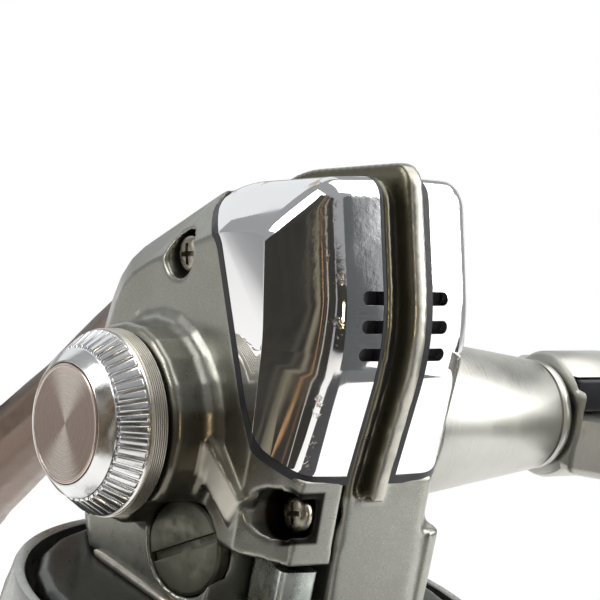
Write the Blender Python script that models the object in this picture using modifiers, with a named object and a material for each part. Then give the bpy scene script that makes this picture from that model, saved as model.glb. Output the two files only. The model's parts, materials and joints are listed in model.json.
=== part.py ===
"""A small spinning reel for a fishing rod, standing on the face of its drag knob.

X points to the handle side, Y to the rod, Z to the rear of the reel. The spool turns about the
Z axis, and the origin is the middle of the drag knob's face.
"""

import math

import bmesh
import bpy
from mathutils import Matrix, Vector

MM = 0.001

# Clearances
GAP = 0.3 * MM
RUNNING = 0.35 * MM
OVERLAP = 0.4 * MM
WELD = 0.003 * MM

# Places of the main axes
RIM_Z = 79.5 * MM
HANDLE_Y = 5.5 * MM
HANDLE_Z = RIM_Z + 15.9 * MM

# Gearbox form: a belly strip, facets beside it and flat sides
STRIP_HALF = 7.15 * MM
BODY_HALF = 10.5 * MM
SEAM_X = -2.2 * MM
FLANGE_R = 20.6 * MM
FLANGE_TOP = 0.4 * MM
FLANGE_T = 2.6 * MM
BOSS_R = 9.1 * MM
BOSS_END = 14.9 * MM
FIN_LOW = -0.2 * MM
FIN_HIGH = 1.6 * MM
FIN_PROUD = 1.2 * MM
GROOVE_W = 0.9 * MM
GROOVE_DEPTH = 1.0 * MM

# Chrome guards over the rear corners
GUARD_T = 0.8 * MM
BACKING_T = 0.45 * MM
GUARD_SEAT = 0.2 * MM
GUARD_BORDER = 0.45 * MM
SLOT_COUNT = 3
SLOT_PITCH = 2.42 * MM
SLOT_W = 1.15 * MM
SLOT_L = 2.3 * MM
SLOT_Z = RIM_Z + 31.0 * MM

# Screws, oil port and switch on the cover
SCREW_HEAD_R = 1.7 * MM
SCREW_HEAD_T = 1.1 * MM
SCREW_R = 0.85 * MM
SCREW_L = 6.0 * MM
POCKET_R = 2.25 * MM
PORT_R = 4.4 * MM
PORT_T = 1.6 * MM
PORT_SLOT = 0.9 * MM
PORT_SLOT_TURN = math.radians(33)
LEVER_H = 7.2 * MM
LEVER_PIVOT_R = 1.0 * MM

# Handle side cap on the cover
CAP_R = 8.5 * MM
CAP_RIM_R = 6.4 * MM
CAP_L = 5.6 * MM
CAP_DISC_R = 5.45 * MM

# Leg and foot
LEG_END_Y = 55.6 * MM
FOOT_FACE_Y = 59.5 * MM
FOOT_L = 56.0 * MM
FOOT_Z = RIM_Z - 24.0 * MM
FOOT_HALF = 7.6 * MM
FOOT_TIP_HALF = 4.8 * MM
FOOT_TIP_T = 2.2 * MM

# Gear train
GEAR_BEARING_R = 5.5 * MM
GEAR_BEARING_W = 3.0 * MM
GEAR_SHAFT_R = 3.1 * MM
GEAR_TEETH = 40
PINION_TEETH = 8
PINION_R = 3.4 * MM
PINION_LAYERS = 3
MESH_DROP = 11.5 * MM
TOOTH_H = 1.25 * MM
TOOTH_W = 0.52 * MM
TOOTH_L = 2.6 * MM
GEAR_R = 13.9 * MM
GEAR_T = 2.0 * MM
STEP_TEETH = 12
CRANK_TEETH = 22
CRANK_MODULE = 0.8 * MM
CRANK_T = 2.2 * MM
PINION_BORE = 2.15 * MM
PINION_SLEEVE_R = 3.5 * MM
PINION_BEARING_R = 7.0 * MM
PINION_BEARING_W = 3.0 * MM
CLUTCH_R = 10.6 * MM
CLUTCH_L = 6.0 * MM
NOSE_R = 13.4 * MM
NOSE_L = 9.0 * MM

# Spool and drag
KNOB_FACE_R = 12.6 * MM
KNOB_R = 14.3 * MM
KNOB_H = 10.5 * MM
KNOB_SCALLOPS = 12
LIP_Z = 10.0 * MM
LIP_R = 23.5 * MM
LIP_T = 3.0 * MM
ARBOR_R = 15.5 * MM
ARBOR_L = 17.0 * MM
SKIRT_R = 23.6 * MM
SKIRT_T = 1.3 * MM
SKIRT_L = 22.5 * MM
FLOOR_T = 2.5 * MM
SHAFT_R = 1.85 * MM
SHAFT_START = 3.0 * MM
SPOOL_SEAT_R = 4.4 * MM
SPOOL_SEAT_T = 0.8 * MM
STROKE = 12.0 * MM
WASHER_T = 1.3 * MM
WASHER_COUNT = 3

# Rotor
RIM_R = 22.8 * MM
RIM_INNER_R = 21.7 * MM
CUP_L = 10.5 * MM
DRUM_R = 18.4 * MM
DRUM_END = 30.0 * MM
ROTOR_WALL = 1.7 * MM
ARM_CLEAR = 1.6 * MM
ARM_THICK = 5.0 * MM
ARM_INNER_R = SKIRT_R + ARM_CLEAR
ARM_OUTER_R = ARM_INNER_R + ARM_THICK
ARM_HALF = 6.2 * MM
ARM_COVER_T = 1.0 * MM
PIVOT_Z = RIM_Z - 36.5 * MM
PIVOT_R = 1.7 * MM
NUT_R = 5.6 * MM
NUT_T = 3.2 * MM

# Bail
LEVER_T = 2.8 * MM
LEVER_EYE_R = 5.4 * MM
ROLLER_Y = -9.0 * MM
ROLLER_DROP = 14.0 * MM
ROLLER_R = 3.6 * MM
ROLLER_W = 4.0 * MM
ROLLER_AXLE_R = 1.2 * MM
WIRE_R = 0.95 * MM

# Handle
SHANK_R = 8.1 * MM
SHANK_END_R = 5.4 * MM
SHANK_L = 19.4 * MM
SHANK_RING = 1.5 * MM
HUB_L = 8.0 * MM
HUB_R = 6.3 * MM
FOLD_UP = 3.2 * MM
FOLD_DOWN = 1.6 * MM
FOLD_DEPTH = 3.0 * MM
HANDLE_LENGTH = 52.0 * MM
ARM_W = 9.0 * MM
ARM_T = 4.4 * MM
ARM_REACH = 46.4 * MM
POST_R = 1.9 * MM
KNOB_L = 30.0 * MM
GRIP_R = 8.6 * MM
GRIP_ROOT_R = 6.2 * MM


def new_collection(name):
    collection = bpy.data.collections.new(name)
    bpy.context.scene.collection.children.link(collection)
    return collection


def clear_scene():
    for obj in list(bpy.data.objects):
        bpy.data.objects.remove(obj, do_unlink=True)


clear_scene()
REEL = new_collection("spinning_reel")
CUTTERS = new_collection("cutters")


def axis_empty(name, location, turn=None, parent=None):
    """An empty on a joint's axis. With turn it lays the local Z axis along world X."""
    empty = bpy.data.objects.new(name, None)
    empty.empty_display_size = 10 * MM
    REEL.objects.link(empty)
    empty.matrix_world = Matrix.Translation(location) @ (turn or Matrix.Identity(4))
    if parent:
        bpy.context.view_layer.update()
        empty.parent = parent
        empty.matrix_parent_inverse = parent.matrix_world.inverted()
    bpy.context.view_layer.update()
    return empty


ALONG_X = Matrix.Rotation(math.radians(90), 4, "Y")


def finish(name, colour, roughness, metallic):
    """A plain Principled material."""
    material = bpy.data.materials.new(name)
    material.use_nodes = True
    shader = material.node_tree.nodes["Principled BSDF"]
    shader.inputs["Base Color"].default_value = (*colour, 1)
    shader.inputs["Roughness"].default_value = roughness
    shader.inputs["Metallic"].default_value = metallic
    return material


PAINT = finish("champagne_paint", (0.32, 0.31, 0.28), 0.38, 0.6)
CHROME = finish("chrome", (0.8, 0.8, 0.8), 0.06, 1)
BLACK = finish("black_rubber", (0.012, 0.012, 0.015), 0.6, 0)
ROSE = finish("spun_rose", (0.62, 0.44, 0.4), 0.25, 1)
NICKEL = finish("dark_nickel", (0.28, 0.26, 0.24), 0.3, 1)
STEEL = finish("bright_steel", (0.62, 0.62, 0.6), 0.25, 1)
BRASS = finish("gear_brass", (0.7, 0.5, 0.22), 0.35, 1)
SATIN = finish("satin_aluminium", (0.68, 0.67, 0.63), 0.35, 1)
DARK = finish("dark_grey", (0.09, 0.09, 0.09), 0.45, 0.3)
GRIP = finish("grip_rubber", (0.03, 0.03, 0.032), 0.7, 0)
FELT = finish("drag_felt", (0.1, 0.09, 0.08), 0.9, 0)


def place(obj, parent, material, collection=None):
    """Links a mesh object and hangs it on its empty, keeping the empty's own axes."""
    (collection or REEL).objects.link(obj)
    if parent:
        obj.parent = parent
    if material:
        obj.data.materials.clear()
        obj.data.materials.append(material)
    obj.data.shade_smooth()
    obj.data.set_sharp_from_angle(angle=math.radians(35))
    return obj


def hide_cutter(obj):
    obj.hide_render = True
    obj.display_type = "WIRE"


def settle(obj):
    """Applies an object's modifiers."""
    bpy.context.view_layer.update()
    graph = bpy.context.evaluated_depsgraph_get()
    mesh = bpy.data.meshes.new_from_object(obj.evaluated_get(graph))
    obj.modifiers.clear()
    obj.data = mesh
    bpy.context.view_layer.update()
    return obj


def boolean(obj, other, operation):
    """Joins, cuts or trims obj by a helper, which moves to the cutters."""
    modifier = obj.modifiers.new(f"{operation.lower()} {other.name}", "BOOLEAN")
    modifier.operation = operation
    modifier.solver = "EXACT"
    modifier.object = other
    weld = obj.modifiers.new(f"weld {other.name}", "WELD")
    weld.merge_threshold = WELD
    if other.name in REEL.objects:
        REEL.objects.unlink(other)
        CUTTERS.objects.link(other)
    hide_cutter(other)
    return obj


def cut(obj, *others):
    for other in others:
        boolean(obj, other, "DIFFERENCE")
    return obj


def join(obj, *others):
    for other in others:
        boolean(obj, other, "UNION")
    return obj


def trim(obj, other):
    return boolean(obj, other, "INTERSECT")


def bevelled(obj, width, segments=2, angle=35):
    modifier = obj.modifiers.new("edges", "BEVEL")
    modifier.width = width
    modifier.segments = segments
    modifier.limit_method = "ANGLE"
    modifier.angle_limit = math.radians(angle)
    return obj


def lighten(obj):
    """Merges the faces that lie in one plane."""
    modifier = obj.modifiers.new("flat faces", "DECIMATE")
    modifier.decimate_type = "DISSOLVE"
    modifier.angle_limit = math.radians(1)
    return obj


def turned(name, profile, parent=None, material=None, steps=20):
    """A profile of (radius, height) turned about the local Z axis.

    It runs from the top down the outer side. One that starts off the axis is closed into a ring.
    """
    mesh = bpy.data.meshes.new(name)
    points = [(radius, 0, height) for radius, height in profile]
    edges = [(i, i + 1) for i in range(len(points) - 1)]
    if profile[0][0] > 0:
        edges.append((len(points) - 1, 0))
    mesh.from_pydata(points, edges, [])
    obj = place(bpy.data.objects.new(name, mesh), parent, material)
    screw = obj.modifiers.new("turn", "SCREW")
    screw.steps = screw.render_steps = steps
    screw.use_merge_vertices = True
    screw.merge_threshold = 1e-6
    screw.use_smooth_shade = True
    return settle(obj)


def tube(name, inner, outer, low, high, parent=None, material=None, steps=20, edge=0.0):
    """A plain ring with broken outer edges."""
    profile = [(inner, high), (outer - edge, high), (outer, high - edge),
               (outer, low + edge), (outer - edge, low), (inner, low)]
    if not edge:
        profile = [(inner, high), (outer, high), (outer, low), (inner, low)]
    return turned(name, profile, parent, material, steps)


def rod(name, radius, low, high, parent=None, material=None, steps=16, edge=0.0):
    """A plain round bar with broken edges."""
    profile = [(0, high), (radius - edge, high), (radius, high - edge),
               (radius, low + edge), (radius - edge, low), (0, low)]
    if not edge:
        profile = [(0, high), (radius, high), (radius, low), (0, low)]
    return turned(name, profile, parent, material, steps)


def rounded(corners, steps=3):
    """The outline through (u, v, radius) corners, each rounded by an arc."""
    outline = []
    count = len(corners)
    for i, (u, v, radius) in enumerate(corners):
        here = Vector((u, v))
        back = Vector(corners[i - 1][:2]) - here
        ahead = Vector(corners[(i + 1) % count][:2]) - here
        if radius <= 0:
            outline.append(here)
            continue
        half = back.angle(ahead) / 2
        reach = min(radius / math.tan(half), 0.48 * back.length, 0.48 * ahead.length)
        radius = reach * math.tan(half)
        centre = here + (back.normalized() + ahead.normalized()).normalized() * (radius / math.sin(half))
        start = here + back.normalized() * reach - centre
        end = here + ahead.normalized() * reach - centre
        sweep = start.angle_signed(end)
        for k in range(steps + 1):
            turn = Matrix.Rotation(-sweep * k / steps, 2)
            outline.append(centre + turn @ start)
    return outline


def inset_corners(corners, distance):
    """The same corners moved inwards, for an outline that runs clockwise in (u, v)."""
    moved = []
    count = len(corners)
    for i, (u, v, radius) in enumerate(corners):
        here = Vector((u, v))
        before = (here - Vector(corners[i - 1][:2])).normalized()
        after = (Vector(corners[(i + 1) % count][:2]) - here).normalized()
        inward_a = Vector((before.y, -before.x))
        inward_b = Vector((after.y, -after.x))
        mitre = (inward_a + inward_b) / (1 + inward_a.dot(inward_b))
        moved.append((*(here + mitre * distance), radius))
    return moved


AXES = {
    "X": Matrix(((0, 0, 1, 0), (1, 0, 0, 0), (0, 1, 0, 0), (0, 0, 0, 1))),
    "Y": Matrix(((0, 1, 0, 0), (0, 0, 1, 0), (1, 0, 0, 0), (0, 0, 0, 1))),
    "Z": Matrix.Identity(4),
}


def slab(name, outline, low, high, axis="X", parent=None, material=None):
    """A flat outline drawn out from low to high: (y, z) along X, (z, x) along Y, (x, y) along Z."""
    curve = bpy.data.curves.new(name, "CURVE")
    curve.dimensions = "2D"
    curve.fill_mode = "BOTH"
    curve.extrude = (high - low) / 2
    spline = curve.splines.new("POLY")
    spline.points.add(len(outline) - 1)
    spline.use_cyclic_u = True
    for point, (u, v) in zip(spline.points, outline):
        point.co = (u, v, 0, 1)
    drawn = bpy.data.objects.new(name + "_outline", curve)
    bpy.context.scene.collection.objects.link(drawn)
    bpy.context.view_layer.update()
    graph = bpy.context.evaluated_depsgraph_get()
    mesh = bpy.data.meshes.new_from_object(drawn.evaluated_get(graph))
    bpy.data.objects.remove(drawn)
    work = bmesh.new()
    work.from_mesh(mesh)
    bmesh.ops.remove_doubles(work, verts=work.verts, dist=1e-6)
    bmesh.ops.translate(work, verts=work.verts, vec=(0, 0, (high + low) / 2))
    bmesh.ops.transform(work, verts=work.verts, matrix=AXES[axis])
    bmesh.ops.recalc_face_normals(work, faces=work.faces)
    work.to_mesh(mesh)
    work.free()
    mesh.name = name
    return place(bpy.data.objects.new(name, mesh), parent, material)


def loft(name, sections, parent=None, material=None):
    """A skin over closed sections of equal counts, with flat ends."""
    work = bmesh.new()
    rings = [[work.verts.new(point) for point in section] for section in sections]
    count = len(rings[0])
    for first, second in zip(rings, rings[1:]):
        for i in range(count):
            work.faces.new((first[i], first[(i + 1) % count], second[(i + 1) % count], second[i]))
    bmesh.ops.triangulate(work, faces=work.faces)
    work.faces.new(rings[0])
    work.faces.new(rings[-1])
    bmesh.ops.recalc_face_normals(work, faces=work.faces)
    mesh = bpy.data.meshes.new(name)
    work.to_mesh(mesh)
    work.free()
    return place(bpy.data.objects.new(name, mesh), parent, material)


def box(name, low, high, parent=None, material=None):
    """A block between two corners."""
    work = bmesh.new()
    size = [b - a for a, b in zip(low, high)]
    middle = [(a + b) / 2 for a, b in zip(low, high)]
    bmesh.ops.create_cube(work, size=1)
    bmesh.ops.scale(work, verts=work.verts, vec=size)
    bmesh.ops.translate(work, verts=work.verts, vec=middle)
    mesh = bpy.data.meshes.new(name)
    work.to_mesh(mesh)
    work.free()
    return place(bpy.data.objects.new(name, mesh), parent, material)


def wire(name, points, radius, parent=None, material=None, resolution=2, sides=1):
    """A round wire along a smooth curve through points, as a mesh."""
    curve = bpy.data.curves.new(name, "CURVE")
    curve.dimensions = "3D"
    curve.bevel_depth = radius
    curve.bevel_resolution = sides
    curve.resolution_u = resolution
    curve.use_fill_caps = True
    spline = curve.splines.new("BEZIER")
    spline.bezier_points.add(len(points) - 1)
    for point, place_at in zip(spline.bezier_points, points):
        point.co = place_at
        point.handle_left_type = point.handle_right_type = "AUTO"
    drawn = bpy.data.objects.new(name + "_route", curve)
    bpy.context.scene.collection.objects.link(drawn)
    bpy.context.view_layer.update()
    graph = bpy.context.evaluated_depsgraph_get()
    mesh = bpy.data.meshes.new_from_object(drawn.evaluated_get(graph))
    bpy.data.objects.remove(drawn)
    work = bmesh.new()
    work.from_mesh(mesh)
    bmesh.ops.remove_doubles(work, verts=work.verts, dist=1e-6)
    bmesh.ops.recalc_face_normals(work, faces=work.faces)
    work.to_mesh(mesh)
    work.free()
    return place(bpy.data.objects.new(name, mesh), parent, material)


# Empties on the joint axes
BODY = axis_empty("reel", (0, 0, 0))
CRANK = axis_empty("crank_axis", (0, HANDLE_Y, HANDLE_Z), ALONG_X, BODY)
ROTOR = axis_empty("rotor_axis", (0, 0, RIM_Z), None, BODY)
SHAFT = axis_empty("shaft_axis", (0, 0, 0), None, BODY)
SPOOL = axis_empty("spool_axis", (0, 0, 0), None, SHAFT)
KNOB = axis_empty("drag_axis", (0, 0, 0), None, SPOOL)
BAIL = axis_empty("bail_axis", (0, 0, PIVOT_Z), ALONG_X, ROTOR)
ROLLER = axis_empty("roller_axis", (0, ROLLER_Y, PIVOT_Z - ROLLER_DROP), ALONG_X, BAIL)
HANDLE_KNOB = axis_empty("knob_axis", (0, HANDLE_Y - HANDLE_LENGTH, HANDLE_Z), ALONG_X, CRANK)

# Empties on axes that stay with the piece they are in
ROLLER_SEAT = axis_empty("roller_seat_axis", (0, ROLLER_Y, PIVOT_Z - ROLLER_DROP), ALONG_X, BAIL)
GEAR_AXIS = axis_empty("gear_axis", (0, HANDLE_Y, HANDLE_Z), ALONG_X, BODY)

# Outline corners of the gearbox in millimetres: (y, height above the rotor rim, corner radius),
# clockwise from the foot of the belly. STRIP is the middle band, SIDE the flat sides.
STRIP = [(-13.0, -1.0, 0), (-12.3, 16.0, 20), (-14.0, 30.0, 18), (-8.6, 43.4, 2.2),
         (5.0, 38.9, 15), (21.0, 26.5, 10), (23.5, 12.0, 6), (19.0, -1.0, 0)]
SIDE = [(-8.6, -1.0, 0), (-8.6, 17.0, 10), (-7.2, 28.0, 20), (-4.6, 36.9, 1.0),
        (2.0, 34.9, 8), (15.5, 27.0, 8), (18.5, 12.0, 6), (12.5, -1.0, 0)]
# The area that a guard covers, seen from the side
GUARD = [(7.6, 48.0, 0), (6.0, 36.5, 1.5), (1.6, 34.6, 3), (-6.4, 22.0, 6), (-9.2, 18.6, 4),
         (-12.6, 16.9, 2), (-20.0, 16.2, 0), (-20.0, 48.0, 0)]
# The room in the gearbox for the slider and the pinion
CHAMBER = [(-4.7, 1.4, 0), (-4.7, 10.5, 0), (-9.2, 13.5, 2), (-9.25, 35.8, 0), (-3.4, 36.2, 0),
           (-3.2, 37.0, 0), (3.2, 37.0, 0), (5.8, 35.8, 0), (13.0, 28.0, 2), (13.0, 1.4, 0)]
# Leg sections: (y, lowest, highest, half width), heights above the rotor rim
LEG = [(16.0, 9.0, 30.5, 6.4), (23.0, 13.0, 25.4, 5.0), (30.0, 9.0, 18.9, 4.2), (37.0, 2.4, 11.6, 4.0),
       (44.0, -5.0, 4.9, 4.4), (50.0, -11.5, -0.5, 4.8), (55.0, -17.5, -4.0, 5.6), (57.0, -19.5, -3.0, 5.8)]
FIN_START = 14.8 * MM
FIN_STOP_Y = 11.0 * MM


def in_mm(corners):
    return [tuple(value * MM for value in corner) for corner in corners]


def above_rim(outline):
    return [(u, RIM_Z + v) for u, v in outline]


def gearbox_form(name, inset=0.0):
    """The outer form of the gearbox, or one that lies inset under it."""
    strip = rounded(inset_corners(in_mm(STRIP), inset))
    side = rounded(inset_corners(in_mm(SIDE), inset))
    flat_half = STRIP_HALF - 0.4 * inset
    half = BODY_HALF - inset
    stations = ((-half, side), (-flat_half, strip), (flat_half, strip), (half, side))
    return loft(name, [[(x, y, RIM_Z + z) for y, z in outline] for x, outline in stations])


def side_block(name, low, high):
    """A block that takes everything between two X planes."""
    reach = 200 * MM
    return box(name, (low, -reach, -reach), (high, reach, reach))


def guard_area(name, low, high, grow=0.0):
    """The guard's side outline, grown outwards, drawn from one X plane to another."""
    return slab(name, above_rim(rounded(inset_corners(in_mm(GUARD), -grow))), low, high)


def guard_recess(name, low, high):
    """The room for a guard and its backing."""
    depth = GUARD_T + BACKING_T + 2 * GUARD_SEAT
    return settle(cut(guard_area(name, low, high, GUARD_BORDER), gearbox_form(name + "_core", depth)))


def guard_shell(name, side, low, high, outer, inner, grow, material):
    """A skin of the gearbox form between two depths, inside the guard's area."""
    shell = gearbox_form(name, outer)
    shell.data.materials.append(material)
    ends = sorted((side * low, side * high))
    trim(shell, guard_area(name + "_area", *ends, grow))
    cut(shell, gearbox_form(name + "_core", inner))
    shell.parent = BODY
    return shell


def guard_slots(name, side, edge):
    """Slots that open at the guard's inner edge and end round."""
    middle = (SLOT_COUNT - 1) / 2
    cutters = []
    for k in range(SLOT_COUNT):
        z = SLOT_Z + (k - middle) * SLOT_PITCH
        start, stop = side * (edge - 1 * MM), side * (edge + SLOT_L)
        corners = [(z - SLOT_W / 2, start, 0), (z - SLOT_W / 2, stop, SLOT_W / 2),
                   (z + SLOT_W / 2, stop, SLOT_W / 2), (z + SLOT_W / 2, start, 0)]
        cutters.append(slab(f"{name}_{k}", rounded(corners), -30 * MM, -2 * MM, "Y"))
    return cutters


def guards():
    for name, side in (("left", -1), ("right", 1)):
        edge = abs(SEAM_X) + GAP
        guard = guard_shell(f"guard_{name}", side, edge, 12 * MM, 0, GUARD_T, 0, CHROME)
        lighten(cut(guard, *guard_slots(f"slot_{name}", side, edge)))
        backing = GUARD_T + GUARD_SEAT
        lighten(guard_shell(f"guard_backing_{name}", side, edge, 12 * MM, backing, backing + BACKING_T,
                            GUARD_BORDER - GUARD_SEAT, BLACK))


def boss_bore(name, side):
    """The seat of a gear bearing, open through the end of its boss."""
    inner = 6.0 * MM
    seat = BOSS_END - 0.8 * MM
    profile = [(GEAR_BEARING_R + GAP, seat), (GEAR_BEARING_R + GAP, inner), (0, inner)]
    profile = [(0, BOSS_END + 1 * MM), (4.0 * MM, BOSS_END + 1 * MM), (4.0 * MM, seat)] + profile
    if side < 0:
        profile = [(radius, -height) for radius, height in reversed(profile)]
    return turned(name, profile, GEAR_AXIS)


def gear_room(name):
    return rod(name, GEAR_R + 0.5 * MM, -7.0 * MM, -2.4 * MM, GEAR_AXIS, steps=24)


def crank_centre():
    """Where the slider's crank gear turns: (y, z)."""
    distance = (STEP_TEETH + CRANK_TEETH) / 2 * CRANK_MODULE
    across = 7.0 * MM
    return HANDLE_Y - across, HANDLE_Z + math.sqrt(distance ** 2 - across ** 2)


CRANK_Y, CRANK_Z = crank_centre()
SLIDER_AXIS = axis_empty("slider_crank_axis", (0, CRANK_Y, CRANK_Z), ALONG_X, BODY)
CRANK_TIP_R = CRANK_TEETH / 2 * CRANK_MODULE + 0.7 * MM
STEP_TIP_R = STEP_TEETH / 2 * CRANK_MODULE + 0.7 * MM
CRANK_LOW = 4.7 * MM
STUD_R = 1.4 * MM
GUIDE_Y = -5.6 * MM
GUIDE_R = 0.9 * MM

# Cover screws: (name, y, height above the rim, depth of the head's face)
SCREWS = [("cover_screw_rear", 7.6 * MM, 31.2 * MM, 8.3 * MM),
          ("cover_screw_belly", -10.9 * MM, 13.1 * MM, 6.6 * MM),
          ("cover_screw_leg", 16.6 * MM, 4.4 * MM, 7.2 * MM)]
SCREW_BOSS_R = 2.0 * MM

PORT_Y = -1.7 * MM
PORT_Z = RIM_Z + 6.6 * MM
PORT_TILT = math.radians(12)
PORT_TURN = Matrix.Rotation(PORT_TILT, 4, "Z") @ Matrix.Rotation(math.radians(-90), 4, "Y")
PORT = axis_empty("port_axis", (-9.6 * MM, PORT_Y, PORT_Z), PORT_TURN, BODY)

SWITCH_X = -5.3 * MM
SWITCH_Y = -7.7 * MM
SWITCH_LOW = RIM_Z + 0.9 * MM
SWITCH = axis_empty("switch_axis", (SWITCH_X, SWITCH_Y, 0), None, BODY)
SWITCH_ROOM_TOP = SWITCH_LOW + LEVER_H + 0.6 * MM


def screw_axis(name, y, z):
    return axis_empty(name + "_axis", (0, y, RIM_Z + z), ALONG_X, BODY)


SCREW_AXES = {name: screw_axis(name, y, z) for name, y, z, _ in SCREWS}


def leg_form(name, grow=0.0):
    """The leg from the gearbox out to the foot, or a form that lies round it."""
    sections = []
    for y, low, high, half in in_mm(LEG):
        edge = min(half, (high - low) / 2) * 0.7 + grow
        low, high, half = low - grow, high + grow, half + grow
        corners = [(-half, low, edge), (-half, high, edge), (half, high, edge), (half, low, edge)]
        sections.append([(x, y - grow, RIM_Z + z) for x, z in rounded(corners, 2)])
    return loft(name, sections)


def foot():
    """The foot, whose rod face is flat."""
    stations = []
    for share in (-1, -0.7, 0, 0.7, 1):
        blend = abs(share) ** 1.6
        half = FOOT_HALF + (FOOT_TIP_HALF - FOOT_HALF) * blend
        thick = FOOT_FACE_Y - LEG_END_Y + (FOOT_TIP_T - FOOT_FACE_Y + LEG_END_Y) * blend
        edge = 0.8 * MM
        corners = [(-half, FOOT_FACE_Y, edge), (half, FOOT_FACE_Y, edge),
                   (half * 0.8, FOOT_FACE_Y - thick, edge), (-half * 0.8, FOOT_FACE_Y - thick, edge)]
        z = FOOT_Z + share * FOOT_L / 2
        stations.append([(x, y, z) for x, y in rounded(corners, 2)])
    return loft("foot", stations)


def fin_plate(name, low, high, out, depth):
    """A band that follows the middle outline from the belly over the rear."""
    corners = in_mm(STRIP)
    def path(distance):
        outline = rounded(inset_corners(corners, -distance), 6)
        return [p for p in outline if p[1] > FIN_START and p[0] < FIN_STOP_Y]
    top = path(out)
    under = path(-depth)
    lead = [(top[0][0], FIN_START)] if top[0][1] > FIN_START + 1 * MM else []
    lead_under = [(under[0][0], FIN_START)] if lead else []
    return slab(name, above_rim(lead + top + under[::-1] + lead_under[::-1]), low, high)


def main_body():
    body = gearbox_form("main_body")
    body.data.materials.append(PAINT)
    body.parent = BODY
    cut(body, side_block("cover_side", -100 * MM, SEAM_X))
    rim = RIM_Z + FLANGE_TOP
    flange = turned("flange", [(0, rim), (FLANGE_R - 0.6 * MM, rim), (FLANGE_R, rim - 0.6 * MM),
                               (FLANGE_R, rim - FLANGE_T), (0, rim - FLANGE_T)], steps=26)
    nose = tube("nose", CLUTCH_R + GAP, NOSE_R, rim - FLANGE_T - NOSE_L, rim - FLANGE_T + 1 * MM, steps=18)
    boss = rod("right_boss", BOSS_R, BODY_HALF - 3 * MM, BOSS_END, GEAR_AXIS, steps=22, edge=0.5 * MM)
    pillar = rod("belly_pillar", 1.7 * MM, RIM_Z, RIM_Z + 11.5 * MM, steps=12)
    pillar.location = (8.3 * MM, -10.9 * MM, 0)
    fin = fin_plate("fin", FIN_LOW, FIN_HIGH, FIN_PROUD, 2 * MM)
    join(body, leg_form("leg"), foot(), fin, boss, flange, nose, pillar)
    cut(body, fin_plate("fin_groove", FIN_LOW - GROOVE_W, FIN_LOW, 3 * MM, GROOVE_DEPTH))
    cut(body, guard_recess("recess_right", abs(SEAM_X), 20 * MM))
    chamber = slab("chamber_right", above_rim(rounded(in_mm(CHAMBER))), -30 * MM, 4.4 * MM)
    rear_screw = SCREW_AXES["cover_screw_rear"]
    settle(cut(chamber, rod("rear_screw_boss", SCREW_BOSS_R, -40 * MM, 3.2 * MM, rear_screw, steps=16)))
    cut(body, chamber, gear_room("gear_room_right"))
    cut(body, rod("step_room", STEP_TIP_R + 0.6 * MM, 3 * MM, 7.6 * MM, GEAR_AXIS))
    crank_top = CRANK_LOW + CRANK_T + GAP
    cut(body, rod("crank_room", CRANK_TIP_R + 0.5 * MM, 3 * MM, crank_top, SLIDER_AXIS, steps=20))
    cut(body, boss_bore("right_bore", 1))
    join(body, rod("crank_stud", STUD_R, CRANK_LOW, CRANK_LOW + CRANK_T + 1.5 * MM, SLIDER_AXIS, steps=10))
    for name, _, _, _ in SCREWS:
        cut(body, rod(name + "_pilot", SCREW_R + GAP, SEAM_X - 1 * MM, 2.2 * MM, SCREW_AXES[name], steps=10))
    seat = RIM_Z - 2.0 * MM
    cut(body, rod("pinion_seat", PINION_BEARING_R + GAP, seat, RIM_Z + 3 * MM, steps=20))
    cut(body, rod("pinion_way", PINION_SLEEVE_R + 1.6 * MM, RIM_Z - 8 * MM, RIM_Z + 3 * MM))
    guide = rod("guide_seat", GUIDE_R + GAP, RIM_Z + 5.0 * MM, RIM_Z + 38.4 * MM, steps=10)
    guide.location = (0, GUIDE_Y, 0)
    switch_seat = rod("switch_seat", LEVER_PIVOT_R, RIM_Z - 1.2 * MM, RIM_Z + 3 * MM, SWITCH, steps=10)
    cut(body, guide, switch_seat)
    lighten(body)


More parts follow.
